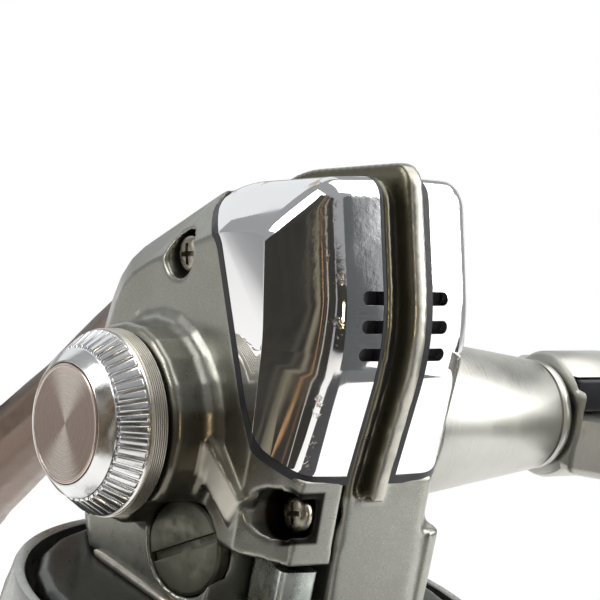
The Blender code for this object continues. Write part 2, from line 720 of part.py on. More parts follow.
def side_cover():
    cover = gearbox_form("side_cover")
    cover.data.materials.append(PAINT)
    cover.parent = BODY
    cut(cover, side_block("body_side", SEAM_X - GAP, 100 * MM))
    under_cover = box("flange_side", (-100 * MM, -100 * MM, -100 * MM),
                      (100 * MM, 100 * MM, RIM_Z + FLANGE_TOP + GAP))
    boss = turned("left_boss", [(0, -BODY_HALF + 3 * MM), (BOSS_R + 1.2 * MM, -BODY_HALF + 3 * MM),
                                (BOSS_R + 1.2 * MM, -BODY_HALF), (BOSS_R + 0.35 * MM, -BODY_HALF - 0.45 * MM),
                                (BOSS_R, -BODY_HALF - 1.3 * MM), (BOSS_R, -BOSS_END + 0.4 * MM),
                                (BOSS_R - 0.4 * MM, -BOSS_END), (0, -BOSS_END)], GEAR_AXIS, steps=22)
    rib_corners = [(1.0, 14.0, 0), (-6.2, 9.7, 0.8), (-7.6, 12.2, 0.8), (-0.5, 18.6, 0)]
    rib = slab("rib", above_rim(rounded(in_mm(rib_corners))), -BODY_HALF - 1.1 * MM, -BODY_HALF + 2 * MM)
    port_boss = rod("port_boss", PORT_R + 0.9 * MM, -4 * MM, 1.3 * MM, PORT, steps=20, edge=0.3 * MM)
    join(cover, boss, rib, port_boss)
    cut(cover, under_cover, leg_form("leg_room", GAP))
    cut(cover, rod("pinion_room", PINION_BEARING_R + GAP, RIM_Z - 1 * MM, RIM_Z + 3 * MM))
    cut(cover, guard_recess("recess_left", -20 * MM, SEAM_X))
    chamber = above_rim(rounded(in_mm(CHAMBER)))
    cut(cover, slab("chamber_left", chamber, -4.6 * MM, 30 * MM), gear_room("gear_room_left"))
    cut(cover, boss_bore("left_bore", -1))
    cut(cover, rod("port_hole", PORT_R + GAP / 2, 1.3 * MM - PORT_T, 5 * MM, PORT, steps=20))
    cut(cover, rod("port_way", PORT_R * 0.5, -8 * MM, 2 * MM, PORT, steps=12))
    for name, _, _, face in SCREWS:
        floor = -face + SCREW_HEAD_T + GAP
        cut(cover, rod(name + "_pocket", POCKET_R, -20 * MM, floor, SCREW_AXES[name], steps=14))
        cut(cover, rod(name + "_way", SCREW_R + GAP, -10 * MM, 10 * MM, SCREW_AXES[name], steps=10))
    switch_room = box("switch_room", (-20 * MM, -30 * MM, RIM_Z - 5 * MM),
                      (10 * MM, -6.0 * MM, SWITCH_ROOM_TOP))
    cut(cover, switch_room)
    cut(cover, rod("switch_top_seat", LEVER_PIVOT_R, RIM_Z, SWITCH_ROOM_TOP + 1.6 * MM, SWITCH, steps=10))
    lighten(cover)


def round_about(obj, count):
    """Repeats a mesh evenly round its local Z axis."""
    work = bmesh.new()
    for k in range(count):
        copy = obj.data.copy()
        copy.transform(Matrix.Rotation(2 * math.pi * k / count, 4, "Z"))
        work.from_mesh(copy)
        bpy.data.meshes.remove(copy)
    work.to_mesh(obj.data)
    work.free()
    return obj


def star(count, points, turn=0.0):
    """An outline of (angle, radius) points repeated round a centre."""
    outline = []
    for k in range(count):
        for angle, radius in points:
            place_angle = turn + angle + 2 * math.pi * k / count
            outline.append((radius * math.cos(place_angle), radius * math.sin(place_angle)))
    return outline


def cap():
    """The screw cap over the unused handle socket: a ring, a cone and a polished rim."""
    face = -BOSS_END - GAP
    end = face - CAP_L
    knurl_top, knurl_end = face - 1.1 * MM, end + 1.2 * MM
    profile = [(0, face + 0.9 * MM), (3.6 * MM, face + 0.9 * MM), (3.6 * MM, face),
               (CAP_R - 0.2 * MM, face), (CAP_R, face - 0.2 * MM), (CAP_R, knurl_top),
               (CAP_RIM_R, knurl_end),
               (CAP_RIM_R - 0.2 * MM, end + 0.5 * MM),
               (CAP_DISC_R + 0.6 * MM, end + 0.1 * MM), (CAP_DISC_R + 0.35 * MM, end),
               (CAP_DISC_R + 0.15 * MM, end + 0.15 * MM), (CAP_DISC_R + 0.15 * MM, end + 0.9 * MM),
               (0, end + 0.9 * MM)]
    turned("handle_cap", profile, GEAR_AXIS, CHROME, 18)
    disc = [(0, end + 0.65 * MM), (CAP_DISC_R, end + 0.65 * MM), (CAP_DISC_R, end + 0.12 * MM),
            (CAP_DISC_R - 0.25 * MM, end), (0, end + 0.12 * MM)]
    turned("cap_disc", disc, GEAR_AXIS, ROSE, 18)


def cover_screws():
    """Cross-slotted screws, driven from the cover into the body."""
    for name, _, _, depth in SCREWS:
        face = -depth
        head = face + SCREW_HEAD_T
        profile = [(0, head + SCREW_L), (SCREW_R, head + SCREW_L), (SCREW_R, head), (SCREW_HEAD_R, head),
                   (SCREW_HEAD_R, face + 0.35 * MM), (SCREW_HEAD_R - 0.35 * MM, face), (0, face)]
        screw = turned(name, profile, SCREW_AXES[name], NICKEL, 10)
        for k in range(2):
            long, short = 1.15 * MM, 0.24 * MM
            half = (long, short) if k else (short, long)
            slot = box(f"{name}_slot_{k}", (-half[0], -half[1], face - 1 * MM),
                       (half[0], half[1], face + 0.6 * MM), SCREW_AXES[name])
            cut(screw, slot)


def oil_port():
    low = 1.3 * MM - PORT_T + GAP
    plug = rod("oil_port_plug", PORT_R, low, low + PORT_T - GAP, PORT, NICKEL, 20, 0.3 * MM)
    slot = box("port_slot", (-PORT_SLOT / 2, -10 * MM, low + PORT_T - GAP - 0.7 * MM),
               (PORT_SLOT / 2, 10 * MM, low + 5 * MM), PORT)
    slot.rotation_euler.z = PORT_SLOT_TURN
    cut(plug, slot)


def reverse_switch():
    """The lever that frees the roller clutch, on its own pin."""
    corners = [(-1.4, -1.4, 1.2), (-2.0, -3.4, 1), (-2.1, -4.7, 0.7), (1.9, -5.0, 0.7), (1.6, -3.0, 1),
               (1.4, 1.4, 1.2), (-1.4, 1.4, 1.2)]
    outline = rounded(in_mm(corners))
    lever = slab("reverse_switch", outline, SWITCH_LOW, SWITCH_LOW + LEVER_H, "Z", SWITCH, CHROME)
    hole = LEVER_PIVOT_R - GAP
    cut(lever, rod("switch_hole", LEVER_PIVOT_R, RIM_Z - 2 * MM, RIM_Z + 20 * MM, SWITCH, steps=10))
    rod("switch_pin", hole, RIM_Z - 0.9 * MM, SWITCH_ROOM_TOP + 1.3 * MM, SWITCH, STEEL, 10)


def bearings():
    inner = GEAR_SHAFT_R + GAP
    end = BOSS_END - 0.8 * MM - GAP
    for name, side in (("left", -1), ("right", 1)):
        low, high = sorted((side * end, side * (end - GEAR_BEARING_W)))
        tube(f"gear_bearing_{name}", inner, GEAR_BEARING_R, low, high, GEAR_AXIS, STEEL, 14)
    seat = RIM_Z - 2.0 * MM + GAP
    tube("pinion_bearing", PINION_SLEEVE_R + GAP, PINION_BEARING_R, seat, seat + PINION_BEARING_W,
         BODY, STEEL, 14)
    top = RIM_Z + FLANGE_TOP - FLANGE_T - GAP
    tube("roller_clutch", PINION_SLEEVE_R + RUNNING, CLUTCH_R, top - CLUTCH_L, top, BODY, STEEL, 16)
    guide = rod("slider_guide", GUIDE_R, RIM_Z + 5.3 * MM, RIM_Z + 38.1 * MM, BODY, STEEL, 10)
    guide.location = (0, GUIDE_Y, 0)


# Tooth forms of the two spur gears: (share of the pitch, height over the pitch circle)
SPUR_FORM = [(-0.32, -0.95), (-0.11, 0.7), (0.11, 0.7), (0.32, -0.95)]


def spur_outline(teeth, turn):
    pitch = 2 * math.pi / teeth
    radius = teeth / 2 * CRANK_MODULE
    points = [(share * pitch, radius + height * MM) for share, height in SPUR_FORM]
    return star(teeth, points, turn)


def spur(name, teeth, low, high, parent, material, turn):
    outline = spur_outline(teeth, turn)
    return loft(name, [[(u, v, height) for u, v in outline] for height in (low, high)], parent, material)


GEAR_FACE = -(PINION_R + 0.9 * MM)


def drive_gear():
    """The face gear, its shaft and the small gear beside it, in one piece."""
    shaft_end = BOSS_END - 1.0 * MM
    back = GEAR_FACE - GEAR_T
    hub = GEAR_SHAFT_R + 1.4 * MM
    profile = [(0, shaft_end), (GEAR_SHAFT_R, shaft_end), (GEAR_SHAFT_R, GEAR_FACE + 1.6 * MM),
               (hub, GEAR_FACE + 1.6 * MM), (hub, GEAR_FACE - 0.6 * MM),
               (GEAR_R - 4.2 * MM, GEAR_FACE - 0.6 * MM), (GEAR_R - 4.0 * MM, GEAR_FACE), (GEAR_R, GEAR_FACE),
               (GEAR_R, back), (hub, back), (GEAR_SHAFT_R, back - 0.3 * MM),
               (GEAR_SHAFT_R, -shaft_end), (0, -shaft_end)]
    gear = turned("drive_gear", profile, CRANK, BRASS, 16)
    mesh_point = Vector((MESH_DROP, -HANDLE_Y, 0))
    tooth = box("face_tooth", (-TOOTH_W / 2, -TOOTH_L / 2, GEAR_FACE - OVERLAP),
                (TOOTH_W / 2, TOOTH_L / 2, GEAR_FACE + TOOTH_H), CRANK)
    tooth.data.transform(Matrix.Translation(mesh_point) @ Matrix.Rotation(math.radians(45), 4, "Z"))
    join(gear, round_about(tooth, GEAR_TEETH))
    step = spur("step_gear", STEP_TEETH, CRANK_LOW - 0.2 * MM, CRANK_LOW + CRANK_T + 0.2 * MM, CRANK, None,
                spur_angle())
    join(gear, step)
    lighten(cut(gear, rod("shank_socket", POST_R + GAP, 2.5 * MM, 30 * MM, CRANK, steps=12)))


def spur_angle():
    """The direction from the drive gear to the crank gear, in the drive gear's own axes."""
    return math.atan2(CRANK_Y - HANDLE_Y, -(CRANK_Z - HANDLE_Z))


def crank_gear():
    """The gear whose pin drives the slider to and fro. The pin ends over the slider's slot."""
    half_pitch = math.pi / CRANK_TEETH
    turn = spur_angle() + math.pi + half_pitch
    gear = spur("slider_crank", CRANK_TEETH, CRANK_LOW, CRANK_LOW + CRANK_T, SLIDER_AXIS, BRASS, turn)
    pin = rod("crank_pin", PIN_R, SLIDER_FACE + GAP, CRANK_LOW + 1 * MM, SLIDER_AXIS, steps=10)
    pin.location = (STROKE / 2, 0, 0)
    join(gear, pin)
    lighten(cut(gear, rod("crank_bore", STUD_R + GAP, -20 * MM, 20 * MM, SLIDER_AXIS, steps=10)))


PIN_R = 0.8 * MM
SLOT_FLOOR = 2.3 * MM
SLIDER_FACE = 3.4 * MM
SLIDER_BACK = -2.4 * MM
SLIDER_HALF = 1.7 * MM
SLIDER_END = 0.6 * MM
CLIP_T = 0.7 * MM
CLIP_RING = 0.9 * MM
SLIDER_Z = CRANK_Z - STROKE / 2


def slider():
    """The block that the crank's pin pushes along the main shaft."""
    reach = STROKE / 2 + PIN_R
    low = (SLIDER_BACK, CRANK_Y - reach - SLIDER_END, SLIDER_Z - SLIDER_HALF)
    high = (SLIDER_FACE, CRANK_Y + reach, SLIDER_Z + SLIDER_HALF)
    block = box("oscillation_slider", low, high, SHAFT, STEEL)
    slot = box("slider_slot", (SLOT_FLOOR, CRANK_Y - reach, SLIDER_Z - PIN_R - GAP),
               (10 * MM, 50 * MM, SLIDER_Z + PIN_R + GAP))
    guide = rod("slider_guide_hole", GUIDE_R + GAP, 0, 200 * MM, steps=10)
    guide.location = (0, GUIDE_Y, 0)
    cut(block, slot, guide, rod("slider_bore", SHAFT_R + GAP, 0, 200 * MM))


def pinion():
    """The helical pinion on the long sleeve that carries the rotor."""
    mesh_z = HANDLE_Z - MESH_DROP - RIM_Z
    low, high = mesh_z - 2.5 * MM, mesh_z + 2.5 * MM
    pitch = 2 * math.pi / PINION_TEETH
    form = [(-0.28, 2.6), (-0.09, 3.95), (0.09, 3.95), (0.28, 2.6)]
    layers = []
    for k in range(PINION_LAYERS + 1):
        z = low + (high - low) * k / PINION_LAYERS
        turn = math.pi + pitch / 2 - (z - mesh_z) / PINION_R
        points = [(angle, radius * MM) for angle, radius in form]
        layers.append([(u, v, z) for u, v in star(PINION_TEETH, points, turn)])
    teeth = loft("pinion_teeth", layers, ROTOR)
    end = -DRUM_END - NUT_T - GAP
    sleeve = tube("pinion", PINION_BORE, PINION_SLEEVE_R, end, low + OVERLAP, ROTOR, BRASS, 16)
    join(sleeve, teeth)
    lighten(cut(sleeve, rod("pinion_bore", PINION_BORE, -60 * MM, 60 * MM, ROTOR, steps=16)))


def arm_outline(side):
    """Side view of a rotor arm as (z, x), from the rim down to the bail pivot."""
    tip = PIVOT_Z - RIM_Z - 5.6 * MM
    root = RIM_INNER_R + 0.6 * MM
    shoulder = RIM_R + 1.8 * MM
    corners = [(-1.2 * MM, root, 0), (-1.2 * MM, shoulder, 1.5 * MM),
               (-7 * MM, ARM_OUTER_R - 0.6 * MM, 6 * MM), (-14 * MM, ARM_OUTER_R, 6 * MM),
               (tip, ARM_OUTER_R, 2 * MM), (tip, ARM_INNER_R, 2 * MM),
               (-15 * MM, ARM_INNER_R, 3 * MM), (0.7 * MM - CUP_L, root, 0)]
    outline = [(z, side * x) for z, x in rounded(corners)]
    return outline if side > 0 else outline[::-1]


def rotor():
    wall = ROTOR_WALL
    inner = PINION_SLEEVE_R + GAP
    profile = [(RIM_INNER_R, 0), (RIM_R - 0.3 * MM, 0), (RIM_R, -0.3 * MM), (RIM_R + 0.7 * MM, -4 * MM),
               (RIM_R + 0.5 * MM, -7.5 * MM), (RIM_R - 0.6 * MM, -CUP_L + 0.5 * MM),
               (DRUM_R + 1 * MM, -CUP_L - 0.6 * MM), (DRUM_R, -CUP_L - 1.6 * MM),
               (DRUM_R, -DRUM_END + 0.8 * MM), (DRUM_R - 0.8 * MM, -DRUM_END),
               (inner, -DRUM_END), (inner, -DRUM_END + 2.2 * MM), (DRUM_R - wall, -DRUM_END + 2.2 * MM),
               (DRUM_R - wall, -CUP_L - 1 * MM), (RIM_INNER_R - 0.4 * MM, -CUP_L + 2.2 * MM),
               (RIM_INNER_R, -6 * MM)]
    cup = turned("rotor", profile, ROTOR, PAINT, 20)
    pivot = axis_empty("pivot_bore_axis", (0, 0, PIVOT_Z), ALONG_X, ROTOR)
    for name, side in (("right", 1), ("left", -1)):
        arm = slab(f"arm_{name}", arm_outline(side), -ARM_HALF, ARM_HALF, "Y", ROTOR)
        settle(bevelled(arm, 0.9 * MM, 1))
        join(cup, arm)
        ends = sorted((side * (ARM_INNER_R - 5 * MM), side * (ARM_OUTER_R + 5 * MM)))
        cut(cup, rod(f"pivot_bore_{name}", PIVOT_R + GAP, *ends, pivot, steps=12))
        outer = sorted((side * (ARM_OUTER_R + GAP), side * (ARM_OUTER_R + GAP + ARM_COVER_T)))
        half, low, high, edge = 5 * MM, -29 * MM, -10 * MM, 2 * MM
        plate = [(low, -half, edge), (low, half, edge), (high, half, edge), (high, -half, edge)]
        plate = [(y, z) for z, y in rounded(plate)][::-1]
        slab(f"arm_cover_{name}", plate, *outer, "X", ROTOR, DARK)
        head = ARM_OUTER_R + 2 * GAP + LEVER_T
        tip = ARM_INNER_R + 0.4 * MM
        screw = [(0, head + 1.2 * MM), (3.0 * MM, head + 1.2 * MM), (3.4 * MM, head + 0.8 * MM),
                 (3.4 * MM, head), (PIVOT_R, head), (PIVOT_R, tip), (0, tip)]
        if side < 0:
            screw = [(radius, -height) for radius, height in reversed(screw)]
        turned(f"bail_screw_{name}", screw, pivot, NICKEL, 12)
    lighten(cup)
    nut_end = -DRUM_END - GAP
    tube("rotor_nut", PINION_SLEEVE_R + 0.9 * MM, NUT_R, nut_end - NUT_T, nut_end, ROTOR, STEEL, 6)


def link_outline(first, second, steps=5):
    """The outline round two circles (u, v, radius), as for a lever."""
    a, b = Vector(first[:2]), Vector(second[:2])
    along = b - a
    lean = math.asin((first[2] - second[2]) / along.length)
    base = math.atan2(along.y, along.x)
    outline = []
    for centre, radius, start, stop in ((a, first[2], base + math.pi / 2 - lean, base + 1.5 * math.pi + lean),
                                        (b, second[2], base - math.pi / 2 + lean, base + math.pi / 2 - lean)):
        for k in range(steps + 1):
            angle = start + (stop - start) * k / steps
            outline.append(tuple(centre + radius * Vector((math.cos(angle), math.sin(angle)))))
    return outline


# Bail wire path from the roller cone round to the plain lever: (share of the reach to that side,
# y and drop below the pivot in millimetres)
WIRE_PATH = [(1.012, -20.0, 18.6), (0.988, -29.5, 20.5), (0.723, -34.7, 22.7), (0.321, -38.4, 25.0),
             (0.0, -39.2, 25.7), (-0.265, -38.4, 25.0), (-0.597, -34.7, 22.7), (-0.816, -29.2, 20.2),
             (-0.902, -20.0, 17.0), (-0.896, -12.0, 13.2), (-0.929, -8.8, 12.2)]
CAM_DROP, CAM_Y = 12.0 * MM, -8.4 * MM


def wire_route(cone_end):
    """The bail wire's middle line in the bail's own axes."""
    right = cone_end - 1.0 * MM
    left = ARM_OUTER_R - 0.05 * MM
    route = [Vector((ROLLER_DROP + 1.1 * MM, ROLLER_Y - 1.3 * MM, right))]
    for share, y, drop in WIRE_PATH:
        route.append(Vector((drop * MM, y * MM, share * (right if share > 0 else left))))
    route.append(Vector((CAM_DROP, CAM_Y, -left)))
    return route


def bail():
    inner = ARM_OUTER_R + GAP
    eye = (0, 0, LEVER_EYE_R)
    for name, side, end in (("roller_lever", 1, (ROLLER_DROP, ROLLER_Y, 4.2 * MM)),
                            ("cam_lever", -1, (CAM_DROP, CAM_Y, 3.2 * MM))):
        low, high = sorted((side * inner, side * (inner + LEVER_T)))
        lever = slab(name, link_outline(eye, end), low, high, "Z", BAIL, SATIN)
        settle(bevelled(lever, 0.5 * MM, 1))
        cut(lever, rod(name + "_bore", PIVOT_R + GAP, low - 1 * MM, high + 1 * MM, BAIL, steps=12))
    bore = rod("axle_bore", ROLLER_AXLE_R + GAP, inner - 2 * MM, inner + 9 * MM, ROLLER_SEAT, steps=12)
    cut(bpy.data.objects["roller_lever"], bore)
    roller_end = inner - GAP
    roller_start = roller_end - ROLLER_W
    groove = ROLLER_R - 0.9 * MM
    middle = (roller_end + roller_start) / 2
    bore_r = ROLLER_AXLE_R + RUNNING
    profile = [(bore_r, roller_end), (ROLLER_R, roller_end), (ROLLER_R, roller_end - 0.7 * MM),
               (groove, middle + 0.6 * MM), (groove, middle - 0.6 * MM), (ROLLER_R, roller_start + 0.7 * MM),
               (ROLLER_R, roller_start), (bore_r, roller_start)]
    turned("line_roller", profile, ROLLER, CHROME, 12)
    cone_end = roller_start - GAP
    head = inner + LEVER_T + GAP
    axle = [(0, head + 1 * MM), (2.2 * MM, head + 1 * MM), (2.4 * MM, head + 0.7 * MM), (2.4 * MM, head),
            (ROLLER_AXLE_R, head), (ROLLER_AXLE_R, cone_end - 0.9 * MM), (0, cone_end - 0.9 * MM)]
    turned("roller_axle", axle, ROLLER_SEAT, NICKEL, 12)
    bow = wire("bail_wire", wire_route(cone_end), WIRE_R, BAIL, CHROME)
    cone = turned("cone", [(0, cone_end), (3.9 * MM, cone_end), (3.9 * MM, cone_end - 0.5 * MM),
                           (3.2 * MM, cone_end - 1.7 * MM), (0, cone_end - 1.7 * MM)], ROLLER_SEAT, steps=16)
    join(bow, cone)
    bore_low, bore_high = cone_end - 1.2 * MM, cone_end + 5 * MM
    cut(bow, rod("cone_bore", ROLLER_AXLE_R + GAP, bore_low, bore_high, ROLLER_SEAT, steps=12))


def spool():
    lip_end = LIP_Z + LIP_T
    floor = lip_end + ARBOR_L
    skirt_start = floor + FLOOR_T
    end = skirt_start + SKIRT_L
    bore = SHAFT_R + GAP
    recess = KNOB_R + 0.7 * MM
    room = 13.0 * MM
    seat = 22.0 * MM
    hub = 4.6 * MM
    profile = [(SKIRT_R - SKIRT_T, end), (SKIRT_R, end), (SKIRT_R, skirt_start + 0.8 * MM),
               (SKIRT_R - 0.6 * MM, skirt_start), (SKIRT_R - 0.6 * MM, floor + 0.3 * MM),
               (ARBOR_R + 0.8 * MM, floor), (ARBOR_R, floor - 0.8 * MM), (ARBOR_R, lip_end + 0.8 * MM),
               (ARBOR_R + 0.8 * MM, lip_end), (LIP_R - 0.9 * MM, lip_end - 0.4 * MM),
               (LIP_R, lip_end - 1.4 * MM), (LIP_R - 0.2 * MM, LIP_Z + 0.5 * MM), (LIP_R - 1 * MM, LIP_Z),
               (recess + 1.2 * MM, LIP_Z), (recess, LIP_Z + 0.8 * MM), (recess, lip_end - 0.4 * MM),
               (room, lip_end - 0.2 * MM), (room, seat), (hub, seat), (hub, seat - 1.2 * MM),
               (bore, seat - 1.2 * MM), (bore, skirt_start), (hub, skirt_start), (hub, seat + FLOOR_T),
               (ARBOR_R - 1.6 * MM, seat + FLOOR_T), (ARBOR_R - 1.6 * MM, floor + 1 * MM),
               (SKIRT_R - SKIRT_T, skirt_start + 0.6 * MM)]
    body = turned("spool", profile, SPOOL, SATIN, 18)
    clip_axis = axis_empty("clip_axis", (0, 0, CLIP_Z), Matrix.Rotation(math.radians(90), 4, "X"), SPOOL)
    cut(body, rod("clip_hole", CLIP_STEM_R + GAP, SKIRT_R - 4 * MM, SKIRT_R + 4 * MM, clip_axis, steps=8))
    foot = SKIRT_R + 0.35 * MM
    clip = [(0, foot + 0.7 * MM), (1.9 * MM, foot + 0.6 * MM), (2.2 * MM, foot + 0.3 * MM), (2.2 * MM, foot),
            (CLIP_STEM_R, foot), (CLIP_STEM_R, SKIRT_R - SKIRT_T), (0, SKIRT_R - SKIRT_T)]
    turned("line_clip", clip, clip_axis, CHROME, 12)
    low = seat
    for k in range(WASHER_COUNT):
        high = low - GAP
        low = high - WASHER_T
        material = FELT if k % 2 == 0 else STEEL
        tube(f"drag_washer_{k + 1}", hub + 0.4 * MM, room - 0.4 * MM, low, high, SPOOL, material, 14)
    tube("drag_retainer", room - 1.5 * MM, room - GAP, low - GAP - 0.7 * MM, low - GAP, SPOOL, STEEL, 14)
    return low


CLIP_Z = 45.0 * MM
CLIP_STEM_R = 0.7 * MM
PRESS_R = 9.0 * MM
PLATE_R = 8.9 * MM


def drag_knob(press_end):
    """The front knob, which the part stands on."""
    bore = SHAFT_R + GAP
    floor = 2.7 * MM
    plate_floor = 1.0 * MM
    profile = [(0, floor), (bore, floor), (bore, press_end), (PRESS_R, press_end), (PRESS_R, KNOB_H),
               (KNOB_R - 0.7 * MM, KNOB_H), (KNOB_R, KNOB_H - 0.7 * MM), (KNOB_R, 2.5 * MM),
               (KNOB_R - 0.5 * MM, 0.8 * MM), (KNOB_FACE_R, 0), (PLATE_R + 0.5 * MM, 0),
               (PLATE_R + GAP, 0.2 * MM), (PLATE_R + GAP, plate_floor), (0, plate_floor)]
    knob = turned("drag_knob", profile, KNOB, DARK, 18)
    scallop = rod("scallops", 2.0 * MM, 1.6 * MM, KNOB_H + 5 * MM, KNOB, steps=6)
    scallop.data.transform(Matrix.Translation((KNOB_R + 1.1 * MM, 0, 0)))
    lighten(cut(knob, round_about(scallop, KNOB_SCALLOPS)))
    rod("drag_knob_plate", PLATE_R, plate_floor - GAP - 0.5 * MM, plate_floor - GAP, KNOB, SATIN, 16)


def main_shaft():
    clip_low = SLIDER_Z + SLIDER_HALF + GAP
    clip_high = clip_low + CLIP_T
    rod("main_shaft", SHAFT_R, SHAFT_START, clip_high + GAP, SHAFT, STEEL, 14, GAP)
    tube("slider_clip", SHAFT_R + GAP / 2, SHAFT_R + CLIP_RING, clip_low, clip_high, SHAFT, STEEL, 14)
    seat = LIP_Z + LIP_T + ARBOR_L + FLOOR_T + GAP
    tube("spool_seat", SHAFT_R + GAP / 2, SPOOL_SEAT_R, seat, seat + SPOOL_SEAT_T, SHAFT, BRASS, 14)


def handle():
    start = BOSS_END + GAP
    end = start + SHANK_L
    ring = end - SHANK_RING
    profile = [(0, end), (SHANK_END_R - 0.5 * MM, end), (SHANK_END_R, end - 0.5 * MM),
               (SHANK_END_R, ring + 0.5 * MM), (SHANK_END_R - 0.4 * MM, ring + 0.3 * MM),
               (SHANK_END_R - 0.4 * MM, ring), (SHANK_END_R + 0.1 * MM, ring),
               (SHANK_R - 0.1 * MM, start + 1.2 * MM), (SHANK_R - 0.4 * MM, start + 0.3 * MM),
               (SHANK_R - 0.9 * MM, start), (3.4 * MM, start), (3.4 * MM, start - GAP), (POST_R, start - GAP),
               (POST_R, 3.0 * MM), (0, 3.0 * MM)]
    turned("handle_shank", profile, CRANK, SATIN, 16)
    low = end + GAP
    inner = low + 5.0 * MM
    foot = -HANDLE_LENGTH
    out = ARM_REACH + ARM_T
    corners = [(HUB_R - 0.4 * MM, low, 1 * MM), (HUB_R - 0.4 * MM, low + HUB_L, 2.5 * MM),
               (-4 * MM, low + HUB_L + 1 * MM, 4 * MM), (-24 * MM, out, 8 * MM),
               (foot - 5.4 * MM, out, 1.5 * MM), (foot - 5.4 * MM, ARM_REACH, 1.5 * MM),
               (-27 * MM, ARM_REACH, 8 * MM), (-9 * MM, inner, 4 * MM),
               (-HUB_R + 0.4 * MM, low, 1 * MM)]
    outline = [(x, -y) for y, x in rounded(corners, 2)]
    # At rest the arm points to the belly, square to the pin that it folds on
    to_belly = Matrix.Rotation(math.radians(-90), 4, "X") @ ALONG_X
    arm_axis = axis_empty("arm_axis", (0, HANDLE_Y, HANDLE_Z), to_belly, CRANK)
    arm = slab("handle_arm", outline, -ARM_W / 2, ARM_W / 2, "Y", arm_axis, SATIN)
    settle(bevelled(arm, 0.8 * MM, 1))
    hub = rod("arm_hub", HUB_R, low, low + HUB_L, CRANK, steps=18, edge=0.6 * MM)
    join(arm, hub)
    pocket_low, pocket_high = low + 0.4 * MM, low + HUB_L + 5 * MM
    pocket_start = (-FOLD_UP, -HUB_R - 1 * MM, pocket_low)
    cut(arm, box("fold_pocket", pocket_start, (FOLD_DOWN, FOLD_DEPTH, pocket_high), CRANK))
    block_low = (-FOLD_UP + GAP, -HUB_R + 2 * MM, pocket_low + GAP)
    block_high = (FOLD_DOWN - GAP, FOLD_DEPTH - GAP, low + HUB_L)
    block = box("fold_block", block_low, block_high, CRANK, BLACK)
    settle(bevelled(block, 0.4 * MM, 1))
    fold = axis_empty("fold_axis", (low + HUB_L / 2, HANDLE_Y, HANDLE_Z), None, CRANK)
    cut(arm, rod("fold_bore", 1.5 * MM, -20 * MM, 20 * MM, fold, steps=12))
    cut(block, rod("fold_block_bore", 1.5 * MM, -20 * MM, 20 * MM, fold, steps=12))
    rod("fold_pin", 1.2 * MM, -HUB_R + 0.2 * MM, HUB_R - 0.2 * MM, fold, STEEL, 12)


def handle_knob():
    out = ARM_REACH + ARM_T
    start = out + 0.9 * MM
    end = start + KNOB_L
    bore = POST_R + RUNNING
    seat = axis_empty("post_axis", (0, HANDLE_Y - HANDLE_LENGTH, HANDLE_Z), ALONG_X, CRANK)
    post_bore = rod("post_bore", POST_R + GAP, ARM_REACH - 5 * MM, out + 5 * MM, seat, steps=12)
    lighten(cut(bpy.data.objects["handle_arm"], post_bore))
    rod("knob_post", POST_R, ARM_REACH + 0.3 * MM, end - 2.6 * MM, seat, STEEL, 16)
    tube("knob_washer", POST_R + GAP, 4.4 * MM, out + 0.3 * MM, start - 0.25 * MM, HANDLE_KNOB, BRASS, 12)
    waist = (GRIP_R + GRIP_ROOT_R) / 2
    profile = [(bore, end), (GRIP_R - 1.6 * MM, end), (GRIP_R - 0.3 * MM, end - 1.6 * MM),
               (GRIP_R, end - 0.15 * KNOB_L), (waist + 0.4 * MM, end - 0.43 * KNOB_L),
               (waist - 0.7 * MM, end - 0.7 * KNOB_L), (GRIP_ROOT_R, start + 3.4 * MM),
               (GRIP_ROOT_R + 0.3 * MM, start + 1 * MM), (GRIP_ROOT_R - 0.3 * MM, start), (bore, start)]
    turned("handle_knob", profile, HANDLE_KNOB, GRIP, 14)
    cap_r = GRIP_R - 2.2 * MM
    cap_profile = [(0, end + 1.9 * MM), (cap_r - 3 * MM, end + 1.7 * MM), (cap_r - 0.8 * MM, end + 1.1 * MM),
                   (cap_r, end + GAP), (POST_R, end + GAP), (POST_R, end - 2.2 * MM), (0, end - 2.2 * MM)]
    turned("knob_cap", cap_profile, HANDLE_KNOB, SATIN, 14)


main_body()
side_cover()
guards()
cap()
cover_screws()
oil_port()
reverse_switch()
bearings()
drive_gear()
crank_gear()
slider()
pinion()
rotor()
bail()
drag_knob(spool() - GAP)
main_shaft()
handle()
handle_knob()
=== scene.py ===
"""Dresses a packed spinning reel: finer pieces, finishes, studio light and the camera.

The frame is that of the part: X to the handle, Y to the rod, Z to the rear along the spool axis.
"""

import json
import math

import bpy
from mathutils import Matrix, Vector

